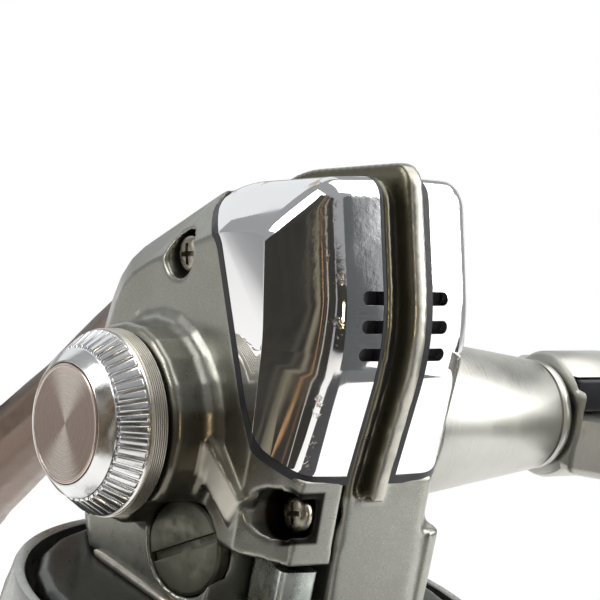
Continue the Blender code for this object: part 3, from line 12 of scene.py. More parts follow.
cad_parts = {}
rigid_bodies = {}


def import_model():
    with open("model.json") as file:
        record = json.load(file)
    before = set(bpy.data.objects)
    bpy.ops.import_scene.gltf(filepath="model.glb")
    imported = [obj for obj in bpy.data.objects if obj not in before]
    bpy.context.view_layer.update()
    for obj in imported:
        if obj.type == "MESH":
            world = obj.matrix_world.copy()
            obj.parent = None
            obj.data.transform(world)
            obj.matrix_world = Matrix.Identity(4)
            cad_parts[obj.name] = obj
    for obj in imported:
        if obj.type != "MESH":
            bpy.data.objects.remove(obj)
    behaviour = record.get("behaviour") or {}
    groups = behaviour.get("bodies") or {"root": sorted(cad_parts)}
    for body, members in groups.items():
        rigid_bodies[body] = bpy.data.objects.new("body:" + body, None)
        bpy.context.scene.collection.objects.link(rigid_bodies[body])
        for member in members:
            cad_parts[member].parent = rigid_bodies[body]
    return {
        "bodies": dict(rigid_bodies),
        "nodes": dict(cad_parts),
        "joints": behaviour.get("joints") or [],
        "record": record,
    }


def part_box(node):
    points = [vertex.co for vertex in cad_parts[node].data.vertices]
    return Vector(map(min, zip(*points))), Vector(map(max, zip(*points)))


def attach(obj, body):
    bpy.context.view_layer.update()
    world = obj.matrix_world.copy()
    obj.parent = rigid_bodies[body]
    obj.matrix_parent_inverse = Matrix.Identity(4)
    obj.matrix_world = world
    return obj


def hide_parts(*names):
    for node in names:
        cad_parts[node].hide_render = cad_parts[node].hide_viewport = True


bl_info = {
    "name": "Spinning reel looks",
    "version": (1, 0, 0),
    "blender": (4, 5, 0),
    "location": "View3D > Sidebar > Reel",
    "description": "Builds the fine pieces, finishes and studio of a small spinning reel",
    "category": "Object",
}

MM = 0.001

# Places and sizes of the reel
RIM_Z = 79.5 * MM
GEAR_AXIS = Vector((0, 5.5 * MM, RIM_Z + 15.9 * MM))
SPOOL_AXIS = Vector((0, 0, 0))
GRIP_AXIS = Vector((0, -46.5 * MM, RIM_Z + 15.9 * MM))
PIVOT = Vector((0, 0, RIM_Z - 36.5 * MM))
BODY_HALF = 10.5 * MM
STRIP_HALF = 7.15 * MM
BOSS_END = 14.9 * MM
RING_WIDTH = 1.8 * MM
GAP = 0.3 * MM
GUARD_T = 0.8 * MM
CROWN = 0.2 * MM
CREASE = 1.2 * MM
FULLNESS = 0.22 * MM
SEAM_X = 2.2 * MM
LIP = 0.34 * MM
ARM_INNER_R = 25.2 * MM
ARM_OUTER_R = 30.2 * MM
ROLLER_Y = -9.0 * MM
ROLLER_DROP = 14.0 * MM
# Lathe lines per metre in turned finishes
LATHE_LINES = 9000.0

# Outline corners in millimetres: (y, height above the rotor rim, corner radius)
STRIP = [(-13.0, -1.0, 0), (-12.3, 16.0, 20), (-14.0, 30.0, 18), (-8.6, 43.4, 2.2),
         (5.0, 38.9, 15), (21.0, 26.5, 10), (23.5, 12.0, 6), (19.0, -1.0, 0)]
SIDE = [(-8.6, -1.0, 0), (-8.6, 17.0, 10), (-7.2, 28.0, 20), (-4.6, 36.9, 1.0),
        (2.0, 34.9, 8), (15.5, 27.0, 8), (18.5, 12.0, 6), (12.5, -1.0, 0)]
GUARD = [(7.6, 48.0, 0), (6.0, 36.5, 1.5), (1.6, 34.6, 3), (-6.4, 22.0, 6), (-9.2, 18.6, 4),
         (-12.6, 16.9, 2), (-20.0, 16.2, 0), (-20.0, 48.0, 0)]
# Cover screws in millimetres: (node, y, height above the rim, depth of the head's face)
SCREWS = [("cover_screw_rear", 7.6, 31.2, 9.6), ("cover_screw_belly", -10.9, 13.1, 6.6),
          ("cover_screw_leg", 16.6, 4.4, 7.2)]
# Bail wire in millimetres: (x, y, drop below the pivot)
WIRE = [(24.9, -10.3, 15.1), (25.2, -20.0, 18.6), (24.6, -29.5, 20.5), (18.0, -34.7, 22.7),
        (8.0, -38.4, 25.0), (0.0, -39.2, 25.7), (-8.0, -38.4, 25.0), (-18.0, -34.7, 22.7),
        (-24.6, -29.2, 20.2), (-27.2, -20.0, 17.0), (-27.0, -12.0, 13.2), (-28.0, -8.8, 12.2),
        (-30.15, -8.4, 12.0)]

FRAME = {}


# Mesh helpers

def only(obj):
    """Makes obj the one selected and active object."""
    bpy.ops.object.select_all(action="DESELECT")
    obj.select_set(True)
    bpy.context.view_layer.objects.active = obj
    return obj


def new_object(name, points, edges=(), faces=()):
    mesh = bpy.data.meshes.new(name)
    mesh.from_pydata([tuple(point) for point in points], list(edges), list(faces))
    obj = bpy.data.objects.new(name, mesh)
    bpy.context.scene.collection.objects.link(obj)
    return only(obj)


def editing(obj):
    """Opens obj in edit mode with all of it selected."""
    only(obj)
    bpy.ops.object.mode_set(mode="EDIT")
    bpy.ops.mesh.select_all(action="SELECT")


def done(obj, angle=35):
    """Closes edit mode with clean normals and smooth shading below an angle."""
    bpy.ops.mesh.select_all(action="SELECT")
    bpy.ops.mesh.normals_make_consistent(inside=False)
    bpy.ops.object.mode_set(mode="OBJECT")
    return smooth(obj, angle)


def smooth(obj, angle=35):
    only(obj)
    bpy.ops.object.shade_smooth_by_angle(angle=math.radians(angle))
    return obj


def apply(obj, kind, **settings):
    """Adds a modifier with these settings and applies it."""
    only(obj)
    modifier = obj.modifiers.new(kind.lower(), kind)
    for key, value in settings.items():
        setattr(modifier, key, value)
    bpy.ops.object.modifier_apply(modifier=modifier.name)
    return obj


def bevel(obj, width, segments=3, angle=35):
    return apply(obj, "BEVEL", width=width, segments=segments, limit_method="ANGLE",
                 angle_limit=math.radians(angle), miter_outer="MITER_ARC", harden_normals=False)


def carve(obj, cutter, operation="DIFFERENCE"):
    """Cuts, joins or trims obj by a helper, which goes."""
    apply(obj, "BOOLEAN", operation=operation, solver="EXACT", object=cutter)
    bpy.data.objects.remove(cutter, do_unlink=True)
    return obj


def joined(name, *objects):
    """Several meshes in one object."""
    bpy.ops.object.select_all(action="DESELECT")
    for obj in objects:
        obj.select_set(True)
    bpy.context.view_layer.objects.active = objects[0]
    bpy.ops.object.join()
    objects[0].name = name
    return objects[0]


def mirrored(profile):
    return [(radius, -height) for radius, height in profile]


def spun(name, profile, centre, axis="Z", steps=96, angle=32):
    """A profile of (radius, height along the axis) spun round an axis through centre."""
    if axis == "X":
        points = [centre + Vector((height, 0, radius)) for radius, height in profile]
    else:
        points = [centre + Vector((radius, 0, height)) for radius, height in profile]
    edges = [(i, i + 1) for i in range(len(points) - 1)]
    if profile[0][0] > 0:
        edges.append((len(points) - 1, 0))
    obj = new_object(name, points, edges)
    editing(obj)
    direction = (1, 0, 0) if axis == "X" else (0, 0, 1)
    bpy.ops.mesh.spin(steps=steps, angle=2 * math.pi, center=centre, axis=direction)
    bpy.ops.mesh.select_all(action="SELECT")
    bpy.ops.mesh.remove_doubles(threshold=1e-6)
    bpy.ops.mesh.dissolve_degenerate(threshold=1e-7)
    return done(obj, angle)


def in_mm(corners):
    return [tuple(value * MM for value in corner) for corner in corners]


def from_level(level, *profile):
    """A profile of (radius, height over a level), given in millimetres."""
    return [(radius * MM, level + height * MM) for radius, height in profile]


def at_rim(x, y, z):
    """A place in millimetres, its height taken from the rotor rim."""
    return Vector((x * MM, y * MM, RIM_Z + z * MM))


def rounded(corners, steps=10):
    """The outline through (u, v, radius) corners, each rounded by an arc."""
    outline = []
    count = len(corners)
    for i, (u, v, radius) in enumerate(corners):
        here = Vector((u, v))
        back = Vector(corners[i - 1][:2]) - here
        ahead = Vector(corners[(i + 1) % count][:2]) - here
        if radius <= 0:
            outline.append(here)
            continue
        half = back.angle(ahead) / 2
        reach = min(radius / math.tan(half), 0.48 * back.length, 0.48 * ahead.length)
        radius = reach * math.tan(half)
        middle = here + (back.normalized() + ahead.normalized()).normalized() * (radius / math.sin(half))
        start = here + back.normalized() * reach - middle
        sweep = start.angle_signed(here + ahead.normalized() * reach - middle)
        outline += [middle + Matrix.Rotation(-sweep * k / steps, 2) @ start for k in range(steps + 1)]
    return outline


def inset(corners, distance):
    """The same corners moved inwards, for an outline that runs clockwise in (u, v)."""
    moved = []
    count = len(corners)
    for i, (u, v, radius) in enumerate(corners):
        here = Vector((u, v))
        before = (here - Vector(corners[i - 1][:2])).normalized()
        after = (Vector(corners[(i + 1) % count][:2]) - here).normalized()
        a = Vector((before.y, -before.x))
        b = Vector((after.y, -after.x))
        moved.append((*(here + (a + b) / (1 + a.dot(b)) * distance), radius))
    return moved


def lofted(name, sections):
    """A closed skin over sections of equal counts."""
    count = len(sections[0])
    points = [point for section in sections for point in section]
    faces = []
    for k in range(len(sections) - 1):
        for i in range(count):
            a, b = k * count + i, k * count + (i + 1) % count
            faces.append((a, b, b + count, a + count))
    faces.append(tuple(range(count)))
    faces.append(tuple(range(len(points) - count, len(points))))
    obj = new_object(name, points, (), faces)
    editing(obj)
    return done(obj)


def drawn_out(name, points, step):
    """A flat outline of points, filled and drawn out along a step."""
    obj = new_object(name, points, [(i, (i + 1) % len(points)) for i in range(len(points))])
    editing(obj)
    bpy.ops.mesh.edge_face_add()
    bpy.ops.mesh.extrude_region_move(TRANSFORM_OT_translate={"value": tuple(step)})
    return done(obj)


def block(name, low, high):
    corners = [(low[0], low[1]), (high[0], low[1]), (high[0], high[1]), (low[0], high[1])]
    return drawn_out(name, [(x, y, low[2]) for x, y in corners], (0, 0, high[2] - low[2]))


def gearbox(name, depth=0.0):
    """The gearbox form with soft creases and slightly full sides, or one that lies inset under it."""
    half = BODY_HALF - depth
    flat = STRIP_HALF - 0.4 * depth
    side = placed(half, rounded(inset(in_mm(SIDE), depth)))

    def strip(x):
        return placed(x, rounded(inset(in_mm(STRIP), depth + CROWN * (x / flat) ** 2)))

    def facet(share):
        full = Vector((FULLNESS * 4 * share * (1 - share), 0, 0))
        return [a.lerp(b, share) + full for a, b in zip(strip(flat), side)]

    sections = [strip(flat * k / 4) for k in range(4)]
    start, corner, leave = strip(flat - CREASE), strip(flat), facet(0.24)
    for k in range(7):
        share = k / 6
        curve = [a.lerp(b, share).lerp(b.lerp(c, share), share) for a, b, c in zip(start, corner, leave)]
        sections.append(curve)
    sections += [facet(share) for share in (0.4, 0.6, 0.8)] + [side]
    across = [[Vector((-p.x, p.y, p.z)) for p in section] for section in sections[:0:-1]]
    return lofted(name, across + sections)


def placed(x, outline):
    """A (y, height) outline in the frame, at x."""
    return [Vector((x, y, RIM_Z + z)) for y, z in outline]


def copied(node):
    """A welded copy of a CAD node, ready for finer work."""
    source = FRAME["nodes"][node]
    obj = source.copy()
    obj.data = source.data.copy()
    obj.name = node + "_fine"
    obj.parent = None
    obj.matrix_world = source.matrix_world.copy()
    bpy.context.scene.collection.objects.link(obj)
    editing(obj)
    bpy.ops.mesh.remove_doubles(threshold=2e-6)
    bpy.ops.mesh.dissolve_limited(angle_limit=math.radians(0.8))
    return done(obj)


# Shader helpers

class Value:
    """A shader socket that takes part in plain arithmetic."""

    def __init__(self, graph, socket):
        self.graph = graph
        self.socket = socket

    def __add__(self, other):
        return self.graph.maths("ADD", self, other)

    def __sub__(self, other):
        return self.graph.maths("SUBTRACT", self, other)

    def __mul__(self, other):
        return self.graph.maths("MULTIPLY", self, other)

    def __pow__(self, other):
        return self.graph.maths("POWER", self, other)

    def sine(self):
        return self.graph.maths("SINE", self)

    def distance(self):
        return self.graph.maths("ABSOLUTE", self)


class Finish:
    """One material: a Principled shader and the nodes that feed it."""

    SOCKETS = {"colour": "Base Color", "roughness": "Roughness", "metallic": "Metallic"}

    def __init__(self, name, colour, roughness, metallic=0.0, coat=0.0):
        self.name = name
        self.material = bpy.data.materials.new(name)
        self.material.use_nodes = True
        self.tree = self.material.node_tree
        self.shader = self.tree.nodes["Principled BSDF"]
        self.shader.inputs["Base Color"].default_value = (*colour, 1)
        self.shader.inputs["Roughness"].default_value = roughness
        self.shader.inputs["Metallic"].default_value = metallic
        self.shader.inputs["Coat Weight"].default_value = coat
        self.place = Value(self, self.node("ShaderNodeTexCoord").outputs["Object"])
        self.axes = None

    def node(self, kind, inputs=None, **settings):
        """Makes a node, sets it and feeds its inputs with numbers or values."""
        node = self.tree.nodes.new(kind)
        for key, value in settings.items():
            setattr(node, key, value)
        for key, value in (inputs or {}).items():
            if isinstance(value, Value):
                self.tree.links.new(value.socket, node.inputs[key])
            else:
                node.inputs[key].default_value = value
        return node

    def maths(self, operation, first, second=None):
        inputs = {0: first} if second is None else {0: first, 1: second}
        return Value(self, self.node("ShaderNodeMath", inputs, operation=operation).outputs[0])

    def axis(self, letter):
        if self.axes is None:
            self.axes = self.node("ShaderNodeSeparateXYZ", {0: self.place})
        return Value(self, self.axes.outputs[letter])

    def height(self):
        """The height over the rotor rim."""
        return self.axis("Z") - RIM_Z

    def stretched(self, x, y, z):
        """The place with each axis stretched."""
        node = self.node("ShaderNodeMapping", {"Vector": self.place, "Scale": (x, y, z)})
        return Value(self, node.outputs[0])

    def noise(self, scale, detail=3.0, roughness=0.5, place=None):
        inputs = {"Vector": place or self.place, "Scale": scale, "Detail": detail, "Roughness": roughness}
        return Value(self, self.node("ShaderNodeTexNoise", inputs).outputs[0])

    def flakes(self, scale):
        """A random number for each small cell."""
        cells = self.node("ShaderNodeTexVoronoi", {"Vector": self.place, "Scale": scale})
        colour = Value(self, cells.outputs["Color"])
        return Value(self, self.node("ShaderNodeSeparateColor", {0: colour}).outputs[0])

    def lines(self, value, pitch, detail):
        """Random lines across a value."""
        inputs = {"W": value * pitch, "Scale": 1.0, "Detail": detail}
        return Value(self, self.node("ShaderNodeTexNoise", inputs, noise_dimensions="1D").outputs[0])

    def edges(self):
        """How convex the surface is, about a half where it is flat."""
        return Value(self, self.node("ShaderNodeNewGeometry").outputs["Pointiness"])

    def band(self, value, low, high, start=0.0, stop=1.0):
        """value between low and high, smoothly moved to start and stop."""
        inputs = {0: value, 1: low, 2: high, 3: start, 4: stop}
        node = self.node("ShaderNodeMapRange", inputs, interpolation_type="SMOOTHSTEP")
        return Value(self, node.outputs[0])

    def zone(self, value, low, high, start=0.0, stop=1.0):
        """A band with its limits in millimetres."""
        return self.band(value, low * MM, high * MM, start, stop)

    def mixed(self, share, first, second):
        """A colour between two colours."""
        node = self.node("ShaderNodeMix", {0: share}, data_type="RGBA")
        for socket, colour in ((node.inputs[6], first), (node.inputs[7], second)):
            if isinstance(colour, Value):
                self.tree.links.new(colour.socket, socket)
            else:
                socket.default_value = (*colour, 1)
        return Value(self, node.outputs[2])

    def radius(self, centre, axis="X"):
        """The distance from an axis through centre."""
        pair = ("Y", "Z") if axis == "X" else ("X", "Y")
        at = {"X": centre.x, "Y": centre.y, "Z": centre.z}
        first = self.axis(pair[0]) - at[pair[0]]
        second = self.axis(pair[1]) - at[pair[1]]
        return (first * first + second * second) ** 0.5

    def feed(self, **values):
        """Links values into the shader's sockets."""
        for key, value in values.items():
            self.tree.links.new(value.socket, self.shader.inputs[self.SOCKETS[key]])
        return self

    def relief(self, height, strength=0.3, distance=0.1 * MM):
        """Bumps the surface by a height from 0 to 1."""
        node = self.node("ShaderNodeBump", {"Height": height, "Strength": strength, "Distance": distance})
        self.tree.links.new(node.outputs[0], self.shader.inputs["Normal"])
        return self


# Finishes

def flaked(look):
    """Metallic paint with fine flakes, pale worn edges and painted shade, dark olive, in the hollows."""
    flake = look.flakes(11000)
    tone = look.mixed(look.band(look.noise(55, 3), 0.3, 0.72), (0.27, 0.268, 0.232), (0.33, 0.336, 0.308))
    sparkle = look.mixed(look.band(flake, 0.72, 1.0, 0, 0.2), tone, (0.6, 0.58, 0.52))
    dull = look.mixed(look.band(flake, 0.0, 0.3, 0.15, 0), sparkle, (0.13, 0.12, 0.1))
    worn = look.mixed(look.band(look.edges(), 0.52, 0.62, 0, 0.6), dull, (0.56, 0.53, 0.46))
    # Where the surface is hollow, the colour goes dark olive: a painted shade.
    return look.mixed(look.band(look.edges(), 0.40, 0.485, 0.8, 0), worn, (0.06, 0.048, 0.034))


def fin_and_groove_shade(look, tone):
    """A tone with the bare fin, and painted shade in the groove beside it."""
    across, along = look.axis("X"), look.axis("Y")
    ridge = look.zone(look.height(), 14.6, 15.2) * look.zone(along, 9, 12, 1, 0)
    # The seam mask darkens the ledge and the groove beside the fin: a painted shade.
    seam = look.zone(across, -0.1, 0.2, 1, 0) * look.zone(across, -2.6, -2.4) * ridge
    fin = look.zone(across, -0.1, 0.2) * look.zone(across, 2.3, 2.5, 1, 0) * ridge
    bare = look.mixed(fin * look.band(look.noise(420, 4), 0.35, 0.6, 0.3, 0.9), tone, (0.5, 0.48, 0.42))
    return look.mixed(seam, bare, (0.17, 0.16, 0.115))


def shaded_cover(look, tone):
    """A tone with painted shade inside the screw holes and two soft patches of painted shade on the side
    cover.
    """
    across = look.axis("X")
    # Inside the screw holes the colour goes near black: a painted shade.
    for y, z, depth, reach in ((-10.9, 13.1, 8.2, 3.0), (7.6, 31.2, 10.0, 2.3)):
        hole_shade = look.zone(look.radius(at_rim(0, y, z)), reach - 0.3, reach, 1, 0)
        inside = look.zone(across, -depth, 0.6 - depth) * look.zone(across, -4.6, -4.2, 1, 0)
        tone = look.mixed(hole_shade * inside, tone, (0.012, 0.01, 0.008))
    # Two soft dark patches on the side cover, near the boss and the rib: a painted shade.
    for y, z, reach, share in ((-1.0, 11.5, 9.5, 0.72), (-6.2, 18.2, 6.0, 0.75)):
        cover_shade = look.zone(look.radius(at_rim(0, y, z)), 0.45 * reach, reach, share, 0)
        tone = look.mixed(cover_shade * look.zone(across, -5, -4.5, 1, 0), tone, (0.1, 0.088, 0.06))
    return tone


def rib_highlight(look):
    """The share of a painted highlight along the crest of the cover's rib."""
    across, along, height = look.axis("X"), look.axis("Y"), look.height()
    beside = ((along + 0.2 * MM) * -0.566 + (height - 17.8 * MM) * 0.824).distance()
    crest = look.zone(beside, 0.9, 1.6, 1, 0) * look.zone(across, -10.9, -10.6, 1, 0)
    ends = look.zone(height, 18.5, 19.5, 1, 0) * look.zone(along, -1.6, -0.4, 0.8, 0)
    return crest * ends * look.zone(across, -12.4, -12.2)


def champagne_paint():
    """Paint of the castings, with a painted highlight on the rib, a painted brown reflection towards the
    leg and a dark flange.
    """
    look = Finish("champagne_paint", (0.3, 0.29, 0.26), 0.32, 0.95, 0.1)
    along, rib_highlight_share = look.axis("Y"), rib_highlight(look)
    # The rib's crest is painted pale and made less metallic: a painted highlight.
    pale = look.mixed(rib_highlight_share, shaded_cover(look, fin_and_groove_shade(look, flaked(look))), (0.52, 0.49, 0.43))
    # Towards the leg the paint turns brown: a painted brown reflection.
    leg = look.mixed(look.zone(along, 17, 27, 0, 0.88), pale, (0.16, 0.105, 0.08))
    flange = look.zone(look.height(), 0.5, 0.62, 1, 0) * look.zone(along, 21, 22, 1, 0)
    look.feed(colour=look.mixed(flange, leg, (0.075, 0.08, 0.074)), metallic=rib_highlight_share * -0.6 + 0.95,
              roughness=look.band(look.noise(900, 3), 0.25, 0.75, 0.27, 0.36))
    return look.relief(look.noise(2600, 2) * 0.6 + look.noise(500, 3) * 0.3, 0.1, 0.05 * MM)


def pale_paint():
    """The castings' paint where it is worn pale, with warm edges."""
    look = Finish("pale_paint", (0.45, 0.44, 0.4), 0.3, 0.95)
    tone = look.mixed(look.band(look.noise(240, 4), 0.3, 0.7), (0.4, 0.385, 0.34), (0.52, 0.51, 0.47))
    worn = look.mixed(look.band(look.edges(), 0.52, 0.6, 0, 0.7), tone, (0.62, 0.5, 0.33))
    look.feed(colour=worn, roughness=look.band(look.noise(900, 3), 0.25, 0.75, 0.26, 0.36))
    return look.relief(look.noise(2600, 2), 0.1, 0.05 * MM)


def rotor_silver():
    """Smooth silver grey paint of the rotor."""
    look = Finish("rotor_silver", (0.4, 0.41, 0.39), 0.3, 0.85, 0.2)
    tone = look.mixed(look.band(look.noise(60, 3), 0.3, 0.7), (0.36, 0.37, 0.35), (0.4, 0.41, 0.39))
    look.feed(colour=look.mixed(look.band(look.flakes(8000), 0.7, 1.0, 0, 0.35), tone, (0.62, 0.62, 0.6)),
              roughness=look.band(look.noise(700, 3), 0.3, 0.7, 0.26, 0.36))
    return look.relief(look.noise(2400, 2), 0.1, 0.04 * MM)


def chrome():
    """Bright plate with faint waves, smudges, scuffs along the guards' crease and pits at their top."""
    look = Finish("chrome", (0.84, 0.84, 0.85), 0.05, 1)
    crease = look.zone((look.axis("X").distance() - STRIP_HALF).distance(), 0.2, 1.1, 1, 0)
    scuff = look.band(look.noise(420, 5, 0.7), 0.56, 0.66) * crease
    scratch = look.noise(160, 2, 0.5, look.stretched(14, 14, 0.9)) * 0.04
    smear = look.band(look.noise(130, 4), 0.45, 0.8, 0.03, 0.12)
    top = look.zone(look.height(), 31, 38) * look.zone(look.axis("Y"), -9, -7, 1, 0)
    worn = top * look.band(look.noise(300, 3), 0.3, 0.6, 0.4, 1)
    pits = worn * look.noise(1300, 3, 0.6) * 0.6
    look.feed(colour=look.mixed(scuff, (0.84, 0.84, 0.85), (0.5, 0.4, 0.29)),
              roughness=smear + scuff * 0.2 + worn * 0.09)
    bumps = look.noise(95, 2) * 0.5 + scratch + pits + scuff * look.noise(1500, 2) * 0.9
    return look.relief(bumps, 0.35, 0.08 * MM)


def cap_plate():
    """Bright plate of the screw cap, with a duller, warmer ring next to the boss."""
    look = Finish("cap_plate", (0.84, 0.84, 0.85), 0.13, 1)
    edge = BOSS_END + GAP + RING_WIDTH
    ring = look.band(look.axis("X"), -edge - 0.1 * MM, -edge + 0.1 * MM)
    tone = look.mixed(look.band(look.noise(260, 5), 0.3, 0.72), (0.74, 0.74, 0.74), (0.84, 0.84, 0.85))
    look.feed(colour=look.mixed(ring, tone, (0.78, 0.755, 0.69)),
              roughness=look.band(look.noise(700, 4), 0.3, 0.7, 0.13, 0.22) + ring * 0.2)
    return look.relief(look.noise(1900, 3), 0.16, 0.05 * MM)


def spun_rose():
    """A rose disc turned on a lathe: faint rings, and a painted sheen as paler colour in two wedges."""
    look = Finish("spun_rose", (0.62, 0.52, 0.49), 0.2, 1)
    radius = look.radius(GEAR_AXIS)
    rings = (radius * (2 * math.pi / (0.16 * MM))).sine() * 0.5 + 0.5
    fine = look.lines(radius, LATHE_LINES, 3.0)
    tone = look.mixed(look.band(fine, 0.3, 0.7), (0.36, 0.285, 0.255), (0.39, 0.31, 0.28))
    # Two opposite wedges are painted paler: a painted highlight for the lathe's sheen.
    turn = look.maths("ARCTAN2", look.axis("Z") - GEAR_AXIS.z, look.axis("Y") * -1.0 + GEAR_AXIS.y)
    sheen = (turn * 2.0 - math.radians(105)).sine()
    sheen_tone = look.mixed(look.band(sheen, -0.1, 1.0, 0, 0.85), tone, (0.8, 0.74, 0.7))
    look.feed(colour=look.mixed(look.zone(radius, 5.0, 5.1), sheen_tone, (0.66, 0.55, 0.5)),
              roughness=look.band(fine, 0.2, 0.8, 0.24, 0.28))
    return look.relief(rings * 0.8 + fine * 0.2, 0.005, 0.02 * MM)


def turned_metal(name, dark, light, roughness, centre, axis):
    """Metal with fine lathe lines round an axis."""
    look = Finish(name, light, roughness, 1)
    lines = look.lines(look.axis(axis), LATHE_LINES, 2.0)
    face = look.lines(look.radius(centre, axis), LATHE_LINES, 2.0)
    cloud = look.noise(140, 4)
    look.feed(colour=look.mixed(look.band(cloud, 0.3, 0.75), dark, light),
              roughness=look.band(lines + cloud, 0.6, 1.4, roughness * 0.7, roughness * 1.4))
    return look.relief(lines * 0.6 + face * 0.6, 0.25, 0.03 * MM)


def plain_metal(name, dark, light, roughness):
    """Stamped metal with stains and small scratches."""
    look = Finish(name, light, roughness, 1)
    look.feed(colour=look.mixed(look.band(look.noise(260, 5), 0.3, 0.72), dark, light),
              roughness=look.band(look.noise(700, 4), 0.3, 0.7, roughness * 0.7, roughness * 1.5))
    return look.relief(look.noise(1900, 3), 0.16, 0.05 * MM)


def moulded(name, dark, light, roughness, grain=2600):
    """Moulded plastic or rubber with a fine grain."""
    look = Finish(name, light, roughness)
    look.feed(colour=look.mixed(look.band(look.noise(150, 4), 0.3, 0.75), dark, light),
              roughness=look.band(look.noise(500, 3), 0.3, 0.7, roughness * 0.85, roughness * 1.15))
    return look.relief(look.noise(grain, 3), 0.3, 0.08 * MM)


# Dark tone, light tone and roughness of each
PLAIN_METALS = {
    "dark_nickel": ((0.12, 0.118, 0.095), (0.15, 0.147, 0.12), 0.4),
    "screw_nickel": ((0.2, 0.18, 0.14), (0.4, 0.37, 0.31), 0.26),
    "lever_satin": ((0.42, 0.46, 0.43), (0.6, 0.63, 0.6), 0.26),
    "bright_steel": ((0.5, 0.49, 0.47), (0.68, 0.67, 0.65), 0.24),
    "gear_brass": ((0.5, 0.33, 0.12), (0.74, 0.54, 0.24), 0.32),
}
MOULDINGS = {
    "black_rubber": ((0.006, 0.006, 0.009), (0.018, 0.019, 0.026), 0.4),
    "dark_grey": ((0.05, 0.05, 0.05), (0.1, 0.1, 0.1), 0.42),
    "grip_rubber": ((0.016, 0.016, 0.018), (0.04, 0.04, 0.042), 0.62),
}


def make_finishes():
    """The material of each slot in the record, and some that only scene pieces use."""
    looks = [champagne_paint(), pale_paint(), rotor_silver(), chrome(), cap_plate(), spun_rose(),
             turned_metal("satin_aluminium", (0.46, 0.46, 0.43), (0.58, 0.585, 0.55), 0.36, GEAR_AXIS, "X"),
             turned_metal("spool_aluminium", (0.54, 0.53, 0.5), (0.62, 0.61, 0.58), 0.3, SPOOL_AXIS, "Z"),
             moulded("drag_felt", (0.06, 0.052, 0.045), (0.13, 0.12, 0.1), 0.9, 5200)]
    looks += [plain_metal(name, *tones) for name, tones in PLAIN_METALS.items()]
    looks += [moulded(name, *tones) for name, tones in MOULDINGS.items()]
    return {look.name: look.material for look in looks}


FINISHES = {}


def dress(obj, slot, body, *nodes, look=None):
    """Gives a piece its finish, the body it rides on and the nodes it stands for."""
    obj.data.materials.clear()
    obj.data.materials.append(FINISHES[look or slot])
    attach(obj, body)
    if nodes:
        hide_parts(*nodes)
    return obj


def slot_of(node):
    for part in FRAME["record"]["subparts"]:
        if part["node"] == node:
            return part["material_slot"]
    raise RuntimeError(f"{node} has no slot in the record")


def body_of(node):
    for body, nodes in FRAME["record"]["behaviour"]["bodies"].items():
        if node in nodes:
            return body
    raise RuntimeError(f"{node} rides on no body")


# Settings

def length_setting(name, description, default, **limits):
    """A setting in millimetres."""
    return bpy.props.FloatProperty(
        name=name, description=description, default=default * MM, unit="LENGTH", **limits)


def angle_setting(name, description, degrees):
    """A setting in degrees."""
    return bpy.props.FloatProperty(
        name=name, description=description, default=math.radians(degrees), subtype="ANGLE")


def count_setting(name, description, default, least):
    """A setting that counts."""
    return bpy.props.IntProperty(name=name, description=description, default=default, min=least)


class ReelCastSettings(bpy.types.PropertyGroup):
    cover_cell: length_setting(
        "Cover cell", "Cell of the skin that softens the cover's cast edges", 0.22, min=0.1 * MM)
    body_cell: length_setting(
        "Body cell", "Cell of the skin that softens the body's cast edges", 0.33, min=0.2 * MM)
    rounds: count_setting("Smoothing rounds", "How often the skin is smoothed", 7, 0)


class ReelCapSettings(bpy.types.PropertyGroup):
    bars: count_setting("Knurl bars", "Bars round the cone of the screw cap", 48, 8)
    bar_height: length_setting("Bar height", "How far a bar stands out of the cone", 0.3)
    grooves: count_setting("Grooves", "Fine grooves round the ring next to the boss", 7, 1)


class ReelGuardSettings(bpy.types.PropertyGroup):
    edge: length_setting("Edge", "Rounding of the guards' edges", 0.2)
    slots: count_setting("Slots", "Slots at the inner edge", 3, 1)
    slot_pitch: length_setting("Slot pitch", "Distance from slot to slot", 2.42)


class ReelStageSettings(bpy.types.PropertyGroup):
    azimuth: angle_setting("Azimuth", "Direction of the camera round the spool axis", -37.62)
    elevation: angle_setting("Elevation", "Height of the camera over the horizon", 13.92)
    roll: angle_setting("Roll", "Lean of the camera", 11.0)
    distance: length_setting("Distance", "From the middle of the rotor rim to the camera", 278.33)
    lens: bpy.props.FloatProperty(
        name="Lens", description="Focal length in millimetres on a 36 mm sensor", default=180.0)


# Pieces

